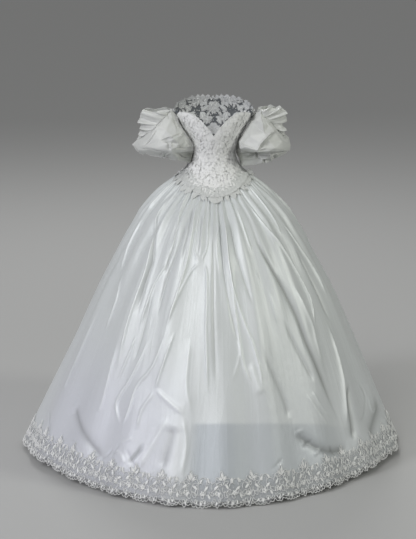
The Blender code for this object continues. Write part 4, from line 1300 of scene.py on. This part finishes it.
PEAKS_R = np.array((
    (58, 35, 165, -46, 176), (40, 30, 152, -36, 169), (33, 140, 136, -47, 149),
    (35, 255, 129, -54, 127), (34, 315, 119, -60, 111), (33, 380, 105, -65, 92),
    (30, 450, 90, -67, 70), (27, 515, 78, -64, 47), (25, 545, 75, -60, 35),
    (73, 40, 174, -60, 159), (92, 95, 191, -70, 145), (62, 170, 163, -78, 142),
    (53, 270, 145, -86, 120), (110, 230, 210, -86, 118), (121, 315, 225, -88, 94),
    (129, 385, 243, -84, 72), (134, 515, 264, -76, 40), (129, 220, 221, -66, 115),
    (138, 305, 236, -66, 94), (144, 385, 255, -62, 68), (149, 530, 279, -54, 36),
    (81, 285, 181, -98, 107), (96, 405, 204, -110, 70), (104, 525, 223, -110, 38),
    (83, 530, 185, -122, 35), (73, 545, 160, -126, 30), (77, 395, 175, -112, 77),
    (72, 380, 162, -124, 88), (62, 365, 143, -116, 95), (44, 365, 117, -92, 100),
    (75, 460, 168, -128, 58), (69, 425, 150, -134, 74), (61, 420, 133, -126, 77),
    (59, 470, 130, -124, 57), (66, 520, 145, -128, 39), (73, 525, 162, -128, 37),
    (75, 450, 174, -112, 59), (49, 430, 121, -102, 73), (52, 505, 124, -106, 45),
    (40, 490, 102, -88, 53), (60, 550, 136, -112, 32), (47, 550, 113, -96, 32),
    (29, 555, 85, -64, 33), (167, 385, 278, -26, 76), (174, 460, 298, -12, 54),
    (180, 555, 309, 0, 29), (180, 650, 299, 0, 10), (157, 640, 287, -40, 19),
    (130, 595, 255, -76, 27), (104, 575, 220, -104, 30), (84, 575, 185, -116, 27),
    (72, 585, 159, -118, 22), (167, 710, 286, -22, 4), (151, 750, 252, -40, 7),
    (128, 820, 217, -58, 8), (104, 860, 187, -62, 6), (79, 855, 158, -66, 4),
    (47, 620, 129, -70, 11), (31, 605, 102, -56, 13), (20, 620, 76, -44, 13),
    (164, 730, 272, -24, -3), (142, 760, 244, -50, -1), (127, 825, 216, -56, -4),
    (113, 840, 200, -60, -9), (84, 845, 167, -64, -13), (56, 700, 137, -72, -3),
    (41, 665, 114, -66, -3), (28, 655, 85, -56, -6), (99, 830, 185, -70, -1),
    (57, 755, 137, -70, -18), (37, 745, 110, -54, -23), (17, 755, 87, -30, -35),
    (67, 740, 152, -72, -6),
)) / PEAK_UNITS
# How far the head of each sleeve stands up, round the arm.
HEAD_L = smooth_curve((0, 30, 60, 78, 96, 125, 160, 360),
                      np.array((0, 6, 22, 28, 16, 4, 0, 0)) / 1000)
HEAD_R = smooth_curve((0, 30, 52, 80, 110, 150, 360),
                      np.array((0, 12, 22, 16, 6, 0, 0)) / 1000)


def on_sleeve(side, angle, row, out=0.0, lift=0.0):
    """A peak that lies on the round sleeve, or out from it."""
    x, y, z = sleeve_point[side](np.array([angle]), np.array([row]), np.array([out]))[0]
    return angle, row, x, y, z + lift


def hidden_peaks(side, seed):
    """Uneven peaks for the side of a sleeve that faces away."""
    luck = np.random.default_rng(seed)
    made = []
    for row in (0.9, 2.0, 3.2, 4.4, 5.6, 6.6, 7.7):
        for angle in np.arange(190, 352, 23):
            out = float(luck.choice((-0.010, 0.004, 0.014)))
            made.append(on_sleeve(side, float(angle + luck.uniform(-8, 8)),
                                  float(row + luck.uniform(-0.4, 0.4)), out))
    return made


def facet_net(side, peaks, head):
    """Join the peaks into flat facets, closed round the arm."""
    ring = [on_sleeve(side, 15.0 * k, row, 0.0, float(head(15.0 * k)) * (row == 0))
            for row in (0.0, LAST_ROW) for k in range(24)]
    snug = [on_sleeve(side, 2.0, row, -0.008 * (side > 0) * (row < 4))
            for row in (1.2, 2.5, 3.8, 5.0, 6.2, 7.6)]
    once = np.concatenate((ring, snug, peaks))
    net = np.concatenate([once + (turn, 0, 0, 0, 0) for turn in (-360, 0, 360)])
    net = net[(net[:, 0] > -90) & (net[:, 0] < 450)]
    flat = [Vector((angle / 36, row)) for angle, row in net[:, :2]]
    _, _, triangles, origin, _, _ = delaunay_2d_cdt(flat, [], [], 0, 1e-6)
    corners = np.array([[origin[i][0] for i in t] for t in triangles])
    return net[:, :2] / (36, 1), net[:, 2:], corners


def on_facets(net, angle, row):
    """Points of the flat facets at many places of the sleeve."""
    flat, place, corners = net
    here = np.stack((angle / 36, row), -1)
    made = np.zeros((len(here), 3))
    for first, second, third in corners:
        a, b, c = flat[first], flat[second], flat[third]
        size = (b[0] - a[0]) * (c[1] - a[1]) - (c[0] - a[0]) * (b[1] - a[1])
        if abs(size) < 1e-9:
            continue
        rel = here - a
        v = (rel[:, 0] * (c[1] - a[1]) - (c[0] - a[0]) * rel[:, 1]) / size
        w = ((b[0] - a[0]) * rel[:, 1] - rel[:, 0] * (b[1] - a[1])) / size
        inside = (v > -1e-6) & (w > -1e-6) & (v + w < 1 + 1e-6)
        mix = np.stack((1 - v - w, v, w), -1)[inside]
        made[inside] = mix @ place[[first, second, third]]
    return made


# %% Creases of the sleeves
SLEEVE_CREASES_L = creases(
    1,
    (42, -92, 79, 5.6, 89, 4.7, 102, 4.1, 114, 3.7, 134, 3.3),
    (34, 42, 76, 5.3, 85, 4.5, 97, 3.9, 107, 3.5, 125, 3.1), (50, -52, 83, 0.7, 94, 2, 96, 3.1),
    (45, 38, 97, 0.9, 129, 2.6, 154, 4, 169, 5.4), (40, 45, 36, 4.9, 58, 5.2, 75, 5.4),
    (40, -75, 79, 6, 103, 6.2, 128, 6.4, 172, 6.6), (42, -70, 67, 5.7, 76, 7, 96, 7.5),
    (42, -55, 23, 6.6, 52, 6.9, 67, 6.8), (40, -75, 125, 6.7, 152, 8.1),
    (40, -80, 103, 7.3, 110, 8.5), (32, 55, 111, 6.8, 136, 8.3), (32, 50, 138, 6.8, 147, 7.7),
    (42, -70, 205, 0.8, 222, 2.6, 240, 4.6), (42, -70, 318, 1, 300, 2.8, 286, 4.9),
    (42, -72, 244, 5, 268, 5.4, 292, 5.1), (40, 50, 262, 1.2, 258, 3),
    (36, -65, 232, 5.8, 246, 7.6), (36, -65, 300, 5.9, 284, 7.8),
)
SLEEVE_CREASES_R = creases(
    1,
    (50, -58, 120, 2.3, 130, 3.1, 136, 3.9, 140, 5.2),
    (38, 56, 109, 1.2, 118, 2.6, 125, 3.9, 132, 5), (38, -78, 75, 4.2, 71, 4, 61, 3.8, 47, 3.8),
    (30, 48, 72, 4.3, 68, 4.1, 60, 4, 44, 4), (38, -72, 76, 4.3, 77, 5, 73, 5.3),
    (30, 42, 72, 4.4, 72, 4.9, 69, 5.3), (36, -60, 41, 4.7, 50, 5, 59, 5.2),
    (42, -72, 72, 5.5, 65, 5.3, 55, 5.2, 42, 5.5, 11, 5.6), (60, -30, 44, 4, 37, 4.9, 32, 5.3),
    (34, -68, 105, 7.1, 82, 5.8), (34, -68, 106, 8.3, 76, 5.7), (34, -60, 87, 7.3, 72, 6.1),
    (42, -62, 153, 6, 121, 5.8, 95, 5.8, 75, 5.8), (45, -55, 62, 5.8, 45, 6.6, 33, 6.8),
    (42, 52, 62, 7.3, 48, 7, 35, 6.4), (45, -48, 53, 1.5, 49, 2.5, 53, 3.3),
    (28, -45, 112, 0, 94, 0.7), (28, 46, 94, 0, 80, 0.9), (28, -50, 79, 0, 67, 1.3),
    (28, 46, 60, 0.8, 55, 1.6), (42, -70, 212, 1.1, 230, 3, 252, 4.7),
    (42, -72, 325, 0.9, 309, 2.5, 290, 4.4), (42, -70, 228, 5.2, 256, 5.6, 300, 5.3),
    (40, 50, 274, 1, 270, 2.9), (36, -65, 238, 6, 252, 7.9), (36, 55, 308, 6.1, 296, 7.6),
)
print("sleeve creases:", len(SLEEVE_CREASES_L) + len(SLEEVE_CREASES_R))

# %% Fold the sleeves
# The painted shade on the underside of each sleeve ends between these two angles.
UNDERSIDE_SHADE_ENDS = {1: (55, 105), -1: (18, 60)}
SLEEVE_GRID = (320, 140)
# Metres of cloth to a degree round the sleeve, and to a row down it.
SLEEVE_SCALE = (0.00175, 0.030)
# How much of the facets the cloth takes; the rest is round.
FACET_SHARE = 0.94


def round_arm(side, u):
    return 360 * (u if side > 0 else 1 - u)


def on_taffeta(side, angle, row, out=0.0):
    """The faceted cloth, eased a little toward the round sleeve."""
    round_form = sleeve_point[side](angle, row, np.zeros_like(row))
    raised = sleeve_point[side](angle, row, np.full_like(row, out))
    facets = on_facets(NETS[side], angle, row)
    return FACET_SHARE * facets - FACET_SHARE * round_form + raised


def folded_sleeve(name, side, laid, node):
    def place(u, v):
        return on_taffeta(side, round_arm(side, u), LAST_ROW * v) * (side, 1, 1)

    # Painted shade: the taffeta darkens under the upper puff's lip, most toward the bodice.
    def painted_hollow_shade(u, v):
        row = LAST_ROW * v
        under = ease(row, 5.7, 6.3) * (1 - 0.8 * ease(row, 6.8, 7.8))
        left = 1 - ease(round_arm(side, u), *UNDERSIDE_SHADE_ENDS[side])
        return under * left + 0.2 * ease(row, 5.8, 6.6)

    piece = lay_cloth(name, *SLEEVE_GRID, place, (0.66, 0.28), "taffeta", taffeta, node,
                      {"painted_hollow_shade": painted_hollow_shade})
    _, u, v = flat_grid(*SLEEVE_GRID)
    relief = np.zeros_like(u)
    for crease in laid:
        add_crease(relief, round_arm(side, u), LAST_ROW * v, SLEEVE_SCALE, crease)
    form = bmesh.new()
    form.from_mesh(piece.data)
    inner = [vert for vert in form.verts if not vert.is_boundary]
    for _ in range(2):
        bmesh.ops.smooth_vert(form, verts=inner, factor=0.5, use_axis_x=True,
                              use_axis_y=True, use_axis_z=True)
    form.normal_update()
    for vert, height in zip(form.verts, relief):
        vert.co += vert.normal * float(height)
    crumple(form, 0.0012)
    bmesh.ops.remove_doubles(form, verts=form.verts, dist=1e-5)
    form.to_mesh(piece.data)
    form.free()
    return piece


def crumple(form, height):
    """Small straight-sided dents, as crisp cloth has between its folds."""
    for vert in form.verts:
        if vert.is_boundary:
            continue
        p = vert.co
        first = abs(((p.x * 21 + p.z * 13 + 0.35 * math.sin(31 * p.y)) % 2) - 1)
        second = abs(((p.y * 17 - p.z * 19 + 0.4 * math.sin(27 * p.x)) % 2) - 1)
        third = abs(((p.x * 43 - p.z * 37 + 0.5 * math.sin(59 * p.y)) % 2) - 1)
        vert.co += vert.normal * height * (first + second + 0.8 * third - 1.4)


NETS = {1: facet_net(1, np.concatenate((PEAKS_L, hidden_peaks(1, 3))), HEAD_L),
        -1: facet_net(-1, np.concatenate((PEAKS_R, hidden_peaks(-1, 8))), HEAD_R)}
sleeve_left = folded_sleeve("puff_sleeve_L", 1, SLEEVE_CREASES_L, "sleeve_L")
sleeve_right = folded_sleeve("puff_sleeve_R", -1, SLEEVE_CREASES_R, "sleeve_R")
for piece in (sleeve_left, sleeve_right):
    print(piece.name, len(piece.data.polygons), "faces")

# %% [markdown]
# ## Fan ruffles
# A ruffle is a strip of taffeta, pleated tight at its foot and free at its edge. Its foot
# runs down the sleeve's outer side and its pleats spread like a fan. Each rib of the table
# says where a pleat starts on the sleeve and where it ends in the air.

# %% Ruffle ribs
RUFFLE_WALL = 0.0008
# Each rib: the angle and row of its foot, the row in tenths, and its tip x, y and z in mm.
RIB_UNITS = (1, 10, 1000, 1000, 1000)
UPPER_L = np.array((
    (70, 0, 179, -45, 180), (84, 0, 198, -52, 180), (91, 2, 224, -52, 187),
    (98, 5, 244, -46, 181), (105, 7, 265, -40, 184), (116, 9, 279, -34, 168),
    (129, 12, 282, -28, 150), (139, 16, 279, -20, 128), (145, 19, 259, -12, 118),
)) / RIB_UNITS
UPPER_R = np.array((
    (56, 0, 167, -46, 177), (74, 1, 201, -55, 175), (84, 5, 235, -52, 170),
    (95, 8, 267, -44, 175), (108, 13, 285, -36, 157), (122, 18, 288, -30, 131),
    (133, 25, 284, -24, 110), (142, 29, 284, -18, 98), (150, 33, 278, -10, 84),
)) / RIB_UNITS
LOWER_L = np.array((
    (143, 20, 260, -26, 116), (152, 28, 276, -24, 107), (160, 33, 276, -18, 92),
    (164, 38, 272, -10, 79), (170, 40, 269, 0, 68),
)) / RIB_UNITS
LOWER_R = np.array((
    (145, 31, 283, -26, 97), (150, 34, 287, -22, 89), (155, 37, 282, -16, 80),
    (161, 40, 278, -10, 74), (169, 44, 278, 0, 67),
)) / RIB_UNITS


def all_round(ribs):
    """The same ribs again behind the arm, a little lower and fuller."""
    back = ribs[::-1] * (-1, 1, 1, -1, 1) + (360, 0, -0.004, 0.012, -0.006)
    return np.concatenate((ribs, back))


def ruffle(name, side, ribs, waves, node, seed):
    reads = [smooth_curve(range(len(ribs)), column) for column in ribs.T]
    uneven = np.random.default_rng(seed).uniform(-0.5, 0.5, 6)

    def ends(share):
        angle, row, *tip = (read(share * (len(ribs) - 1)) for read in reads)
        return on_taffeta(side, angle, row, 0.0015), np.stack(tip, -1)

    def place(u, v):
        share = u if side > 0 else 1 - u
        out = 1 - v
        foot, tip = ends(share)
        rib = tip - foot
        along = ends(np.clip(share + 0.01, 0, 1))[1] - ends(np.clip(share - 0.01, 0, 1))[1]
        face = np.cross(rib, along)
        face /= np.linalg.norm(face, axis=-1, keepdims=True) + 1e-9
        phase = 2 * math.pi * waves * share
        phase = phase + uneven[0] * np.sin(phase / 3) + uneven[1] * np.sin(phase / 5 + 1)
        pleat = np.cos(phase) + 0.35 * np.cos(2 * phase + uneven[2])
        open_up = 0.0060 * out**0.9 * (1 + 0.5 * np.sin(phase / 2.3 + uneven[3]))
        bow = 0.006 * np.sin(math.pi * out) * (1 + 0.4 * np.sin(phase / 4))
        stretch = 0.97 + 0.02 * np.cos(phase + 1.0) * out
        return (foot + rib * (out * stretch)[:, None]
                - face * (pleat * open_up + bow)[:, None]) * (side, 1, 1)

    piece = lay_cloth(name, waves * 20, 26, place, (0.34, 0.07), "taffeta", taffeta, node)
    return lined(piece, RUFFLE_WALL)


ruffles = [
    ruffle("fan_ruffle_upper_L", 1, all_round(UPPER_L), 10, "ruffle_upper_L", 1),
    ruffle("fan_ruffle_lower_L", 1, all_round(LOWER_L), 6, "ruffle_lower_L", 2),
    ruffle("fan_ruffle_upper_R", -1, all_round(UPPER_R), 10, "ruffle_upper_R", 4),
    ruffle("fan_ruffle_lower_R", -1, all_round(LOWER_R), 5, "ruffle_lower_R", 5),
]
print("ruffles:", [r.name for r in ruffles])

# %% [markdown]
# ## The hem lace
# One repeat of the border has a pointed tongue and a broad scallop, tied with cords. Net
# fills it, a spray of leaves stands over the tongue, and arcs and curls fill the rest.
# All of it is drawn flat, in metres along the hem and up the skirt, and laid on the
# skirt forty times.

# %% The lace laid on the skirt
REPEATS = 40
REPEAT_DEGREES = 360 / REPEATS
REPEAT_WIDTH = 0.116
HEM_LAY = 0.0019


def over_hem(share, up, lay):
    """Lay flat lace: share counts repeats from the right side seam, up from the satin's hem."""
    angle = -90 + REPEAT_DEGREES * share
    low = satin_drop(angle)
    place = skirt_point(angle, low - np.maximum(up, 0), HEM_LAY + lay)
    down = skirt_point(angle, low, HEM_LAY + lay) - skirt_point(angle, low - 0.012, HEM_LAY + lay)
    down /= np.linalg.norm(down, axis=-1, keepdims=True)
    return place + down * np.maximum(-up, 0)[..., None]


def lace_edge(share):
    """How far the lace hangs under the satin: a pointed tongue, then a broad scallop."""
    t = share % 1
    tongue = 0.010 + 0.014 * np.clip(1 - np.abs(t - 1 / 6) * 6, 0, 1)
    arch = np.sin(math.pi * np.clip((t - 1 / 3) * 1.5, 0, 1))
    scallop = 0.011 + 0.013 * arch**0.6
    return np.where(t < 1 / 3, tongue, scallop)


def lace_crest(share):
    """The lace's upper line: a peak over each spray of leaves."""
    t = (share % 1) * 3
    return np.where(t < 1, 0.088 + 0.037 * t, np.where(t < 2, 0.125 - 0.037 * (t - 1), 0.088))


def net_edge(share):
    return 0.8 * lace_edge(share) - 0.003


def hem_net_panel(name, first, node):
    def place(u, v):
        share = first + REPEATS / 2 * u
        up = lace_crest(share) * (1 - v) ** 1.2 - net_edge(share) * v**3
        return over_hem(share, up, np.zeros_like(u))

    def crest(u, v):
        return ease(1 - v, 0.45, 0.95)

    return lay_cloth(name, 480, 16, place, (2.36, 0.14), "net_lace", hem_net, node,
                     {"crest": crest})


hem_panels = [hem_net_panel(f"hem_net_{label}", first, f"hem_lace_{label}")
              for label, first in (("front", 0), ("back", REPEATS / 2))]
print("hem net:", sum(len(p.data.polygons) for p in hem_panels), "faces")


# %% Cords of one repeat
def spiral(centre, size, start, swing, steps):
    return arc(centre, size, start, swing, steps, shrink=0.72)


def drop(foot, length, width, turn, steps=11):
    """The outline of a small pointed leaf, from its foot round to its foot."""
    t = np.linspace(0, 2 * math.pi, steps)
    x = length * 0.5 * (1 - np.cos(t))
    y = width * 0.5 * np.sin(t) * (1 + 0.45 * np.cos(t))
    return np.stack((foot[0] + x * math.cos(turn) - y * math.sin(turn),
                     foot[1] + x * math.sin(turn) + y * math.cos(turn)), -1)


# Each cord: its kind, its place across in hundredths of a repeat and up in mm, and its size in
# mm; then the width and turn of a leaf, or the start, swing and steps of a curve.
CORD_ROWS = (
    (drop, 33, 70, 30, 0.014, 1.57), (drop, 31, 66, 24, 0.012, 2.35),
    (drop, 35, 66, 24, 0.012, 0.8), (drop, 28, 55, 18, 0.01, 2.9), (drop, 38, 55, 18, 0.01, 0.25),
    (drop, 45, 20, 22, 0.011, 0.9), (drop, 47, 16, 20, 0.01, 2.2), (drop, 72, 18, 22, 0.011, 1.1),
    (drop, 74, 14, 20, 0.01, 2.4), (drop, 2, 20, 22, 0.011, 1), (drop, 5, 16, 20, 0.01, 2.3),
    (drop, 31, 12, 20, 0.011, 1.57), (arc, 8, 50, 12, 0.3, 3, 8), (arc, 17, 62, 10, -0.2, 3.2, 8),
    (arc, 50, 60, 13, 0.2, 3, 8), (arc, 62, 47, 10, 0.6, 3.1, 8), (arc, 75, 62, 12, 0, 3, 8),
    (arc, 90, 52, 12, 0.4, 2.8, 8), (spiral, 20, 34, 14, 3.4, 5, 12),
    (spiral, 57, 33, 15, -0.3, -5.4, 12), (spiral, 87, 31, 14, 2.6, 5, 12),
    (arc, 42, 38, 11, 2.2, 3.4, 8), (arc, 66, 4, 33, 3.14, 3.14, 12, 0.42),
    (arc, 16, 4, 14, 3.14, 3.14, 9), (drop, 56, 4, 15, 0.009, 4.3),
    (drop, 66, 2, 16, 0.009, 4.71), (drop, 77, 4, 15, 0.009, 5.2), (drop, 12, 6, 14, 0.009, 4.5),
    (drop, 22, 4, 13, 0.008, 5), (arc, 95, 0, 9, 3, 3.3, 8), (arc, 40, 0, 9, 3.2, 3.2, 8),
    (drop, 62, 58, 18, 0.009, 1.2), (drop, 88, 60, 18, 0.009, 2), (arc, 30, 44, 10, 1, 3, 8),
)
REPEAT_CORDS = [kind((across / 100 * REPEAT_WIDTH, up / 1000), size / 1000, *rest)
                for kind, across, up, size, *rest in CORD_ROWS]


def hem_cords():
    lines = []
    for k in range(REPEATS):
        for flat in REPEAT_CORDS:
            middle = flat.mean(0)
            sway, size = draw(-0.45, 0.45), draw(0.85, 1.2)
            x, y = ((flat - middle) * size).T
            x, y = x * math.cos(sway) - y * math.sin(sway), x * math.sin(sway) + y * math.cos(sway)
            middle = middle + chance.uniform(-0.004, 0.004, 2)
            lift = np.full(len(flat), draw(0.0002, 0.0014))
            across = k + (middle[0] + x) / REPEAT_WIDTH
            lines.append(np.stack((across, middle[1] + y, lift), -1))
    return laid_lines(over_hem, lines)


def edge_lines():
    """The cord of the edge, worked into small loops."""
    share = np.linspace(0, REPEATS, REPEATS * 54 + 1)
    loops = 0.0085 * np.abs(np.sin(math.pi * 8 * share + 0.8 * np.sin(5 * share))) ** 0.8
    return [over_hem(share, 0.001 - net_edge(share) - loops, np.zeros_like(share))]


hem_cord_piece = cord_piece("hem_lace_cords", hem_cords(), HEM_CORD, 0)
cord_piece("hem_edge_cord", edge_lines(), EDGE_CORD)
print("hem cords:", len(hem_cord_piece.data.polygons), "faces")

# %% Leaves, flowers and beads of the hem
# Each leaf: its place across in hundredths of a repeat and up in mm, its turn and its size.
HEM_LEAVES = (
    (33, 74, 1.57, 1.2), (31, 69, 2.35, 1), (35, 69, 0.8, 1), (62, 60, 1.3, 1), (90, 62, 1.9, 1),
    (8, 40, 1, 1.2), (20, 14, 1.2, 1.1), (52, 40, 2.2, 1.2), (76, 36, 0.7, 1.2), (95, 8, 2, 1.1),
    (66, 0, 4.71, 0.9), (52, 2, 4.3, 0.8), (80, 2, 5.1, 0.8), (100 / 6, 0, 4.71, 0.9),
)
HEM_FLOWERS = ((0.15, 0.024, 0.42), (0.68, 0.024, 0.45))


def hem_stamps():
    made = []
    for k in range(REPEATS):
        for across, up, turn, size in HEM_LEAVES:
            wander = draw(-0.4, 0.4)
            place = (k + across / 100 + 0.04 * wander, up / 1000)
            made.append(Stamp(SMALL_LEAF, place, turn + wander, size, 0, 0.0004, 0.12))
        for across, up, size in HEM_FLOWERS:
            spin = draw(0, 1.2)
            made += flower((k + across + 0.03 * spin, up + 0.004 * spin), spin, size, lift=0.0004,
                           tilt=0.25)
    return made


def around_hem(share, height, across, up, lift):
    return over_hem(share + across / REPEAT_WIDTH, height + up, lift)


def hem_bead_stamps():
    made = []
    for k in range(REPEATS):
        for _ in range(26):
            across = draw(0, 1)
            up = draw(-0.008, 0.075)
            size = draw(0.6, 1.05)
            made.append(Stamp(BEAD, (k + across, up), 0.0, size, 0, 0.0006))
    return made


hem_leaves = stamp("hem_lace_leaves", hem_stamps(), around_hem, lace_thread)
hem_beads = stamp("hem_beads", hem_bead_stamps(), around_hem, pearl)
print("hem faces:", len(hem_leaves.data.polygons), "of motifs,", len(hem_beads.data.polygons),
      "of beads")

# %% [markdown]
# ## The back fastening
# A narrow band of lace covers the centre back seam, with small satin-covered buttons and
# a cord loop over each.

# %% Button band, buttons and loops
BAND_WIDTH = 0.018
BUTTON_RADIUS = 0.0052
BUTTONS = range(1, 8)
band_low = float(seam_height(180.0)) + 0.004
band_top = float(neck_height(180.0)) - 0.002


def band_place(u, v):
    z = band_top + (band_low - band_top) * v
    centre = on_form(np.full_like(z, 180.0), z, 0.0028)
    centre[:, 0] = BAND_WIDTH / 2 - BAND_WIDTH * u
    return centre


lined(lay_cloth("button_band", 10, 60, band_place, (BAND_WIDTH, 0.14), "lace", lace_thread,
                "back_placket"), 0.001)


def covered_button(name, node):
    low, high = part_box(node)
    centre = (low + high) / 2
    form = bmesh.new()
    bmesh.ops.create_uvsphere(form, u_segments=24, v_segments=14, radius=BUTTON_RADIUS)
    bmesh.ops.bisect_plane(form, geom=form.verts[:] + form.edges[:] + form.faces[:], dist=1e-6,
                           plane_co=(0, 0, -0.0008), plane_no=(0, 0, 1), clear_inner=True)
    bmesh.ops.scale(form, vec=(1, 1, 0.72), verts=form.verts)
    bmesh.ops.rotate(form, matrix=Vector((0, 0, 1)).rotation_difference(
        Vector((0, 1, 0))).to_matrix(), verts=form.verts)
    bmesh.ops.translate(form, vec=(centre.x, low.y + 0.0006, centre.z), verts=form.verts)
    form.loops.layers.uv.new("cloth")
    mesh = mesh_of(form, name)
    mesh.shade_smooth()
    mesh.materials.append(button_satin)
    return keep_piece(name, mesh, (node,))


buttons = [covered_button(f"covered_button_{k}", f"button_{k}") for k in BUTTONS]


def button_loops():
    lines = []
    for k in BUTTONS:
        low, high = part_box(f"button_{k}")
        t = np.linspace(-0.5 * math.pi, 0.5 * math.pi, 14)
        x = -0.0075 + 0.0125 * np.cos(t)
        z = (low.z + high.z) / 2 + BUTTON_RADIUS * np.sin(t)
        lines.append(np.stack((x, np.full_like(x, low.y + 0.0008), z), -1))
    return lines


cord_piece("button_loops", button_loops(), LOOP_CORD)
print("buttons:", len(buttons))

# %% [markdown]
# ## What each cloth was cut to
# A table of how large each cloth was before it was sewn and gathered; the loop below only
# spells out each piece's name. The areas are those of the cut pieces as they show.

# Each cut: its piece, width, length, area, how it is held and what it rests on. A pair of
# braces stands for L and then R.
CUTS = (
    ("satin_skirt_front", 2.45, 1.14, 1.95, "gathered", "bodice_front_panel"),
    ("satin_skirt_back", 2.45, 1.14, 1.95, "gathered", "bodice_back_panel_L"),
    ("hem_net_front", 2.4, 0.15, 0.28, "laid", "satin_skirt_front"),
    ("hem_net_back", 2.4, 0.15, 0.28, "laid", "satin_skirt_back"),
    ("sheer_back_{}", 0.22, 0.16, 0.022, "stretched", "bodice_side_back_panel_{}"),
    ("puff_sleeve_{}", 0.66, 0.28, 0.13, "gathered", "bodice_side_front_panel_{}"),
    ("fan_ruffle_upper_{}", 0.38, 0.08, 0.019, "gathered", "puff_sleeve_{}"),
    ("fan_ruffle_lower_{}", 0.15, 0.05, 0.005, "gathered", "puff_sleeve_{}"),
    ("bodice_front_panel", 0.115, 0.29, 0.029, "stretched", "bodice_side_front_panel_L"),
    ("bodice_side_front_panel_{}", 0.135, 0.26, 0.027, "stretched", "bodice_front_panel"),
    ("bodice_side_back_panel_{}", 0.115, 0.22, 0.016, "stretched", "bodice_front_panel"),
    ("bodice_back_panel_{}", 0.09, 0.17, 0.011, "stretched", "bodice_side_back_panel_{}"),
    ("button_band", 0.018, 0.145, 0.0025, "laid", "bodice_back_panel_L"),
)
for name, width, length, area, held, rests in CUTS:
    for letter in "LR" if "{}" in name else "L":
        piece = name.format(letter)
print("cuts declared:", len(CUTS))
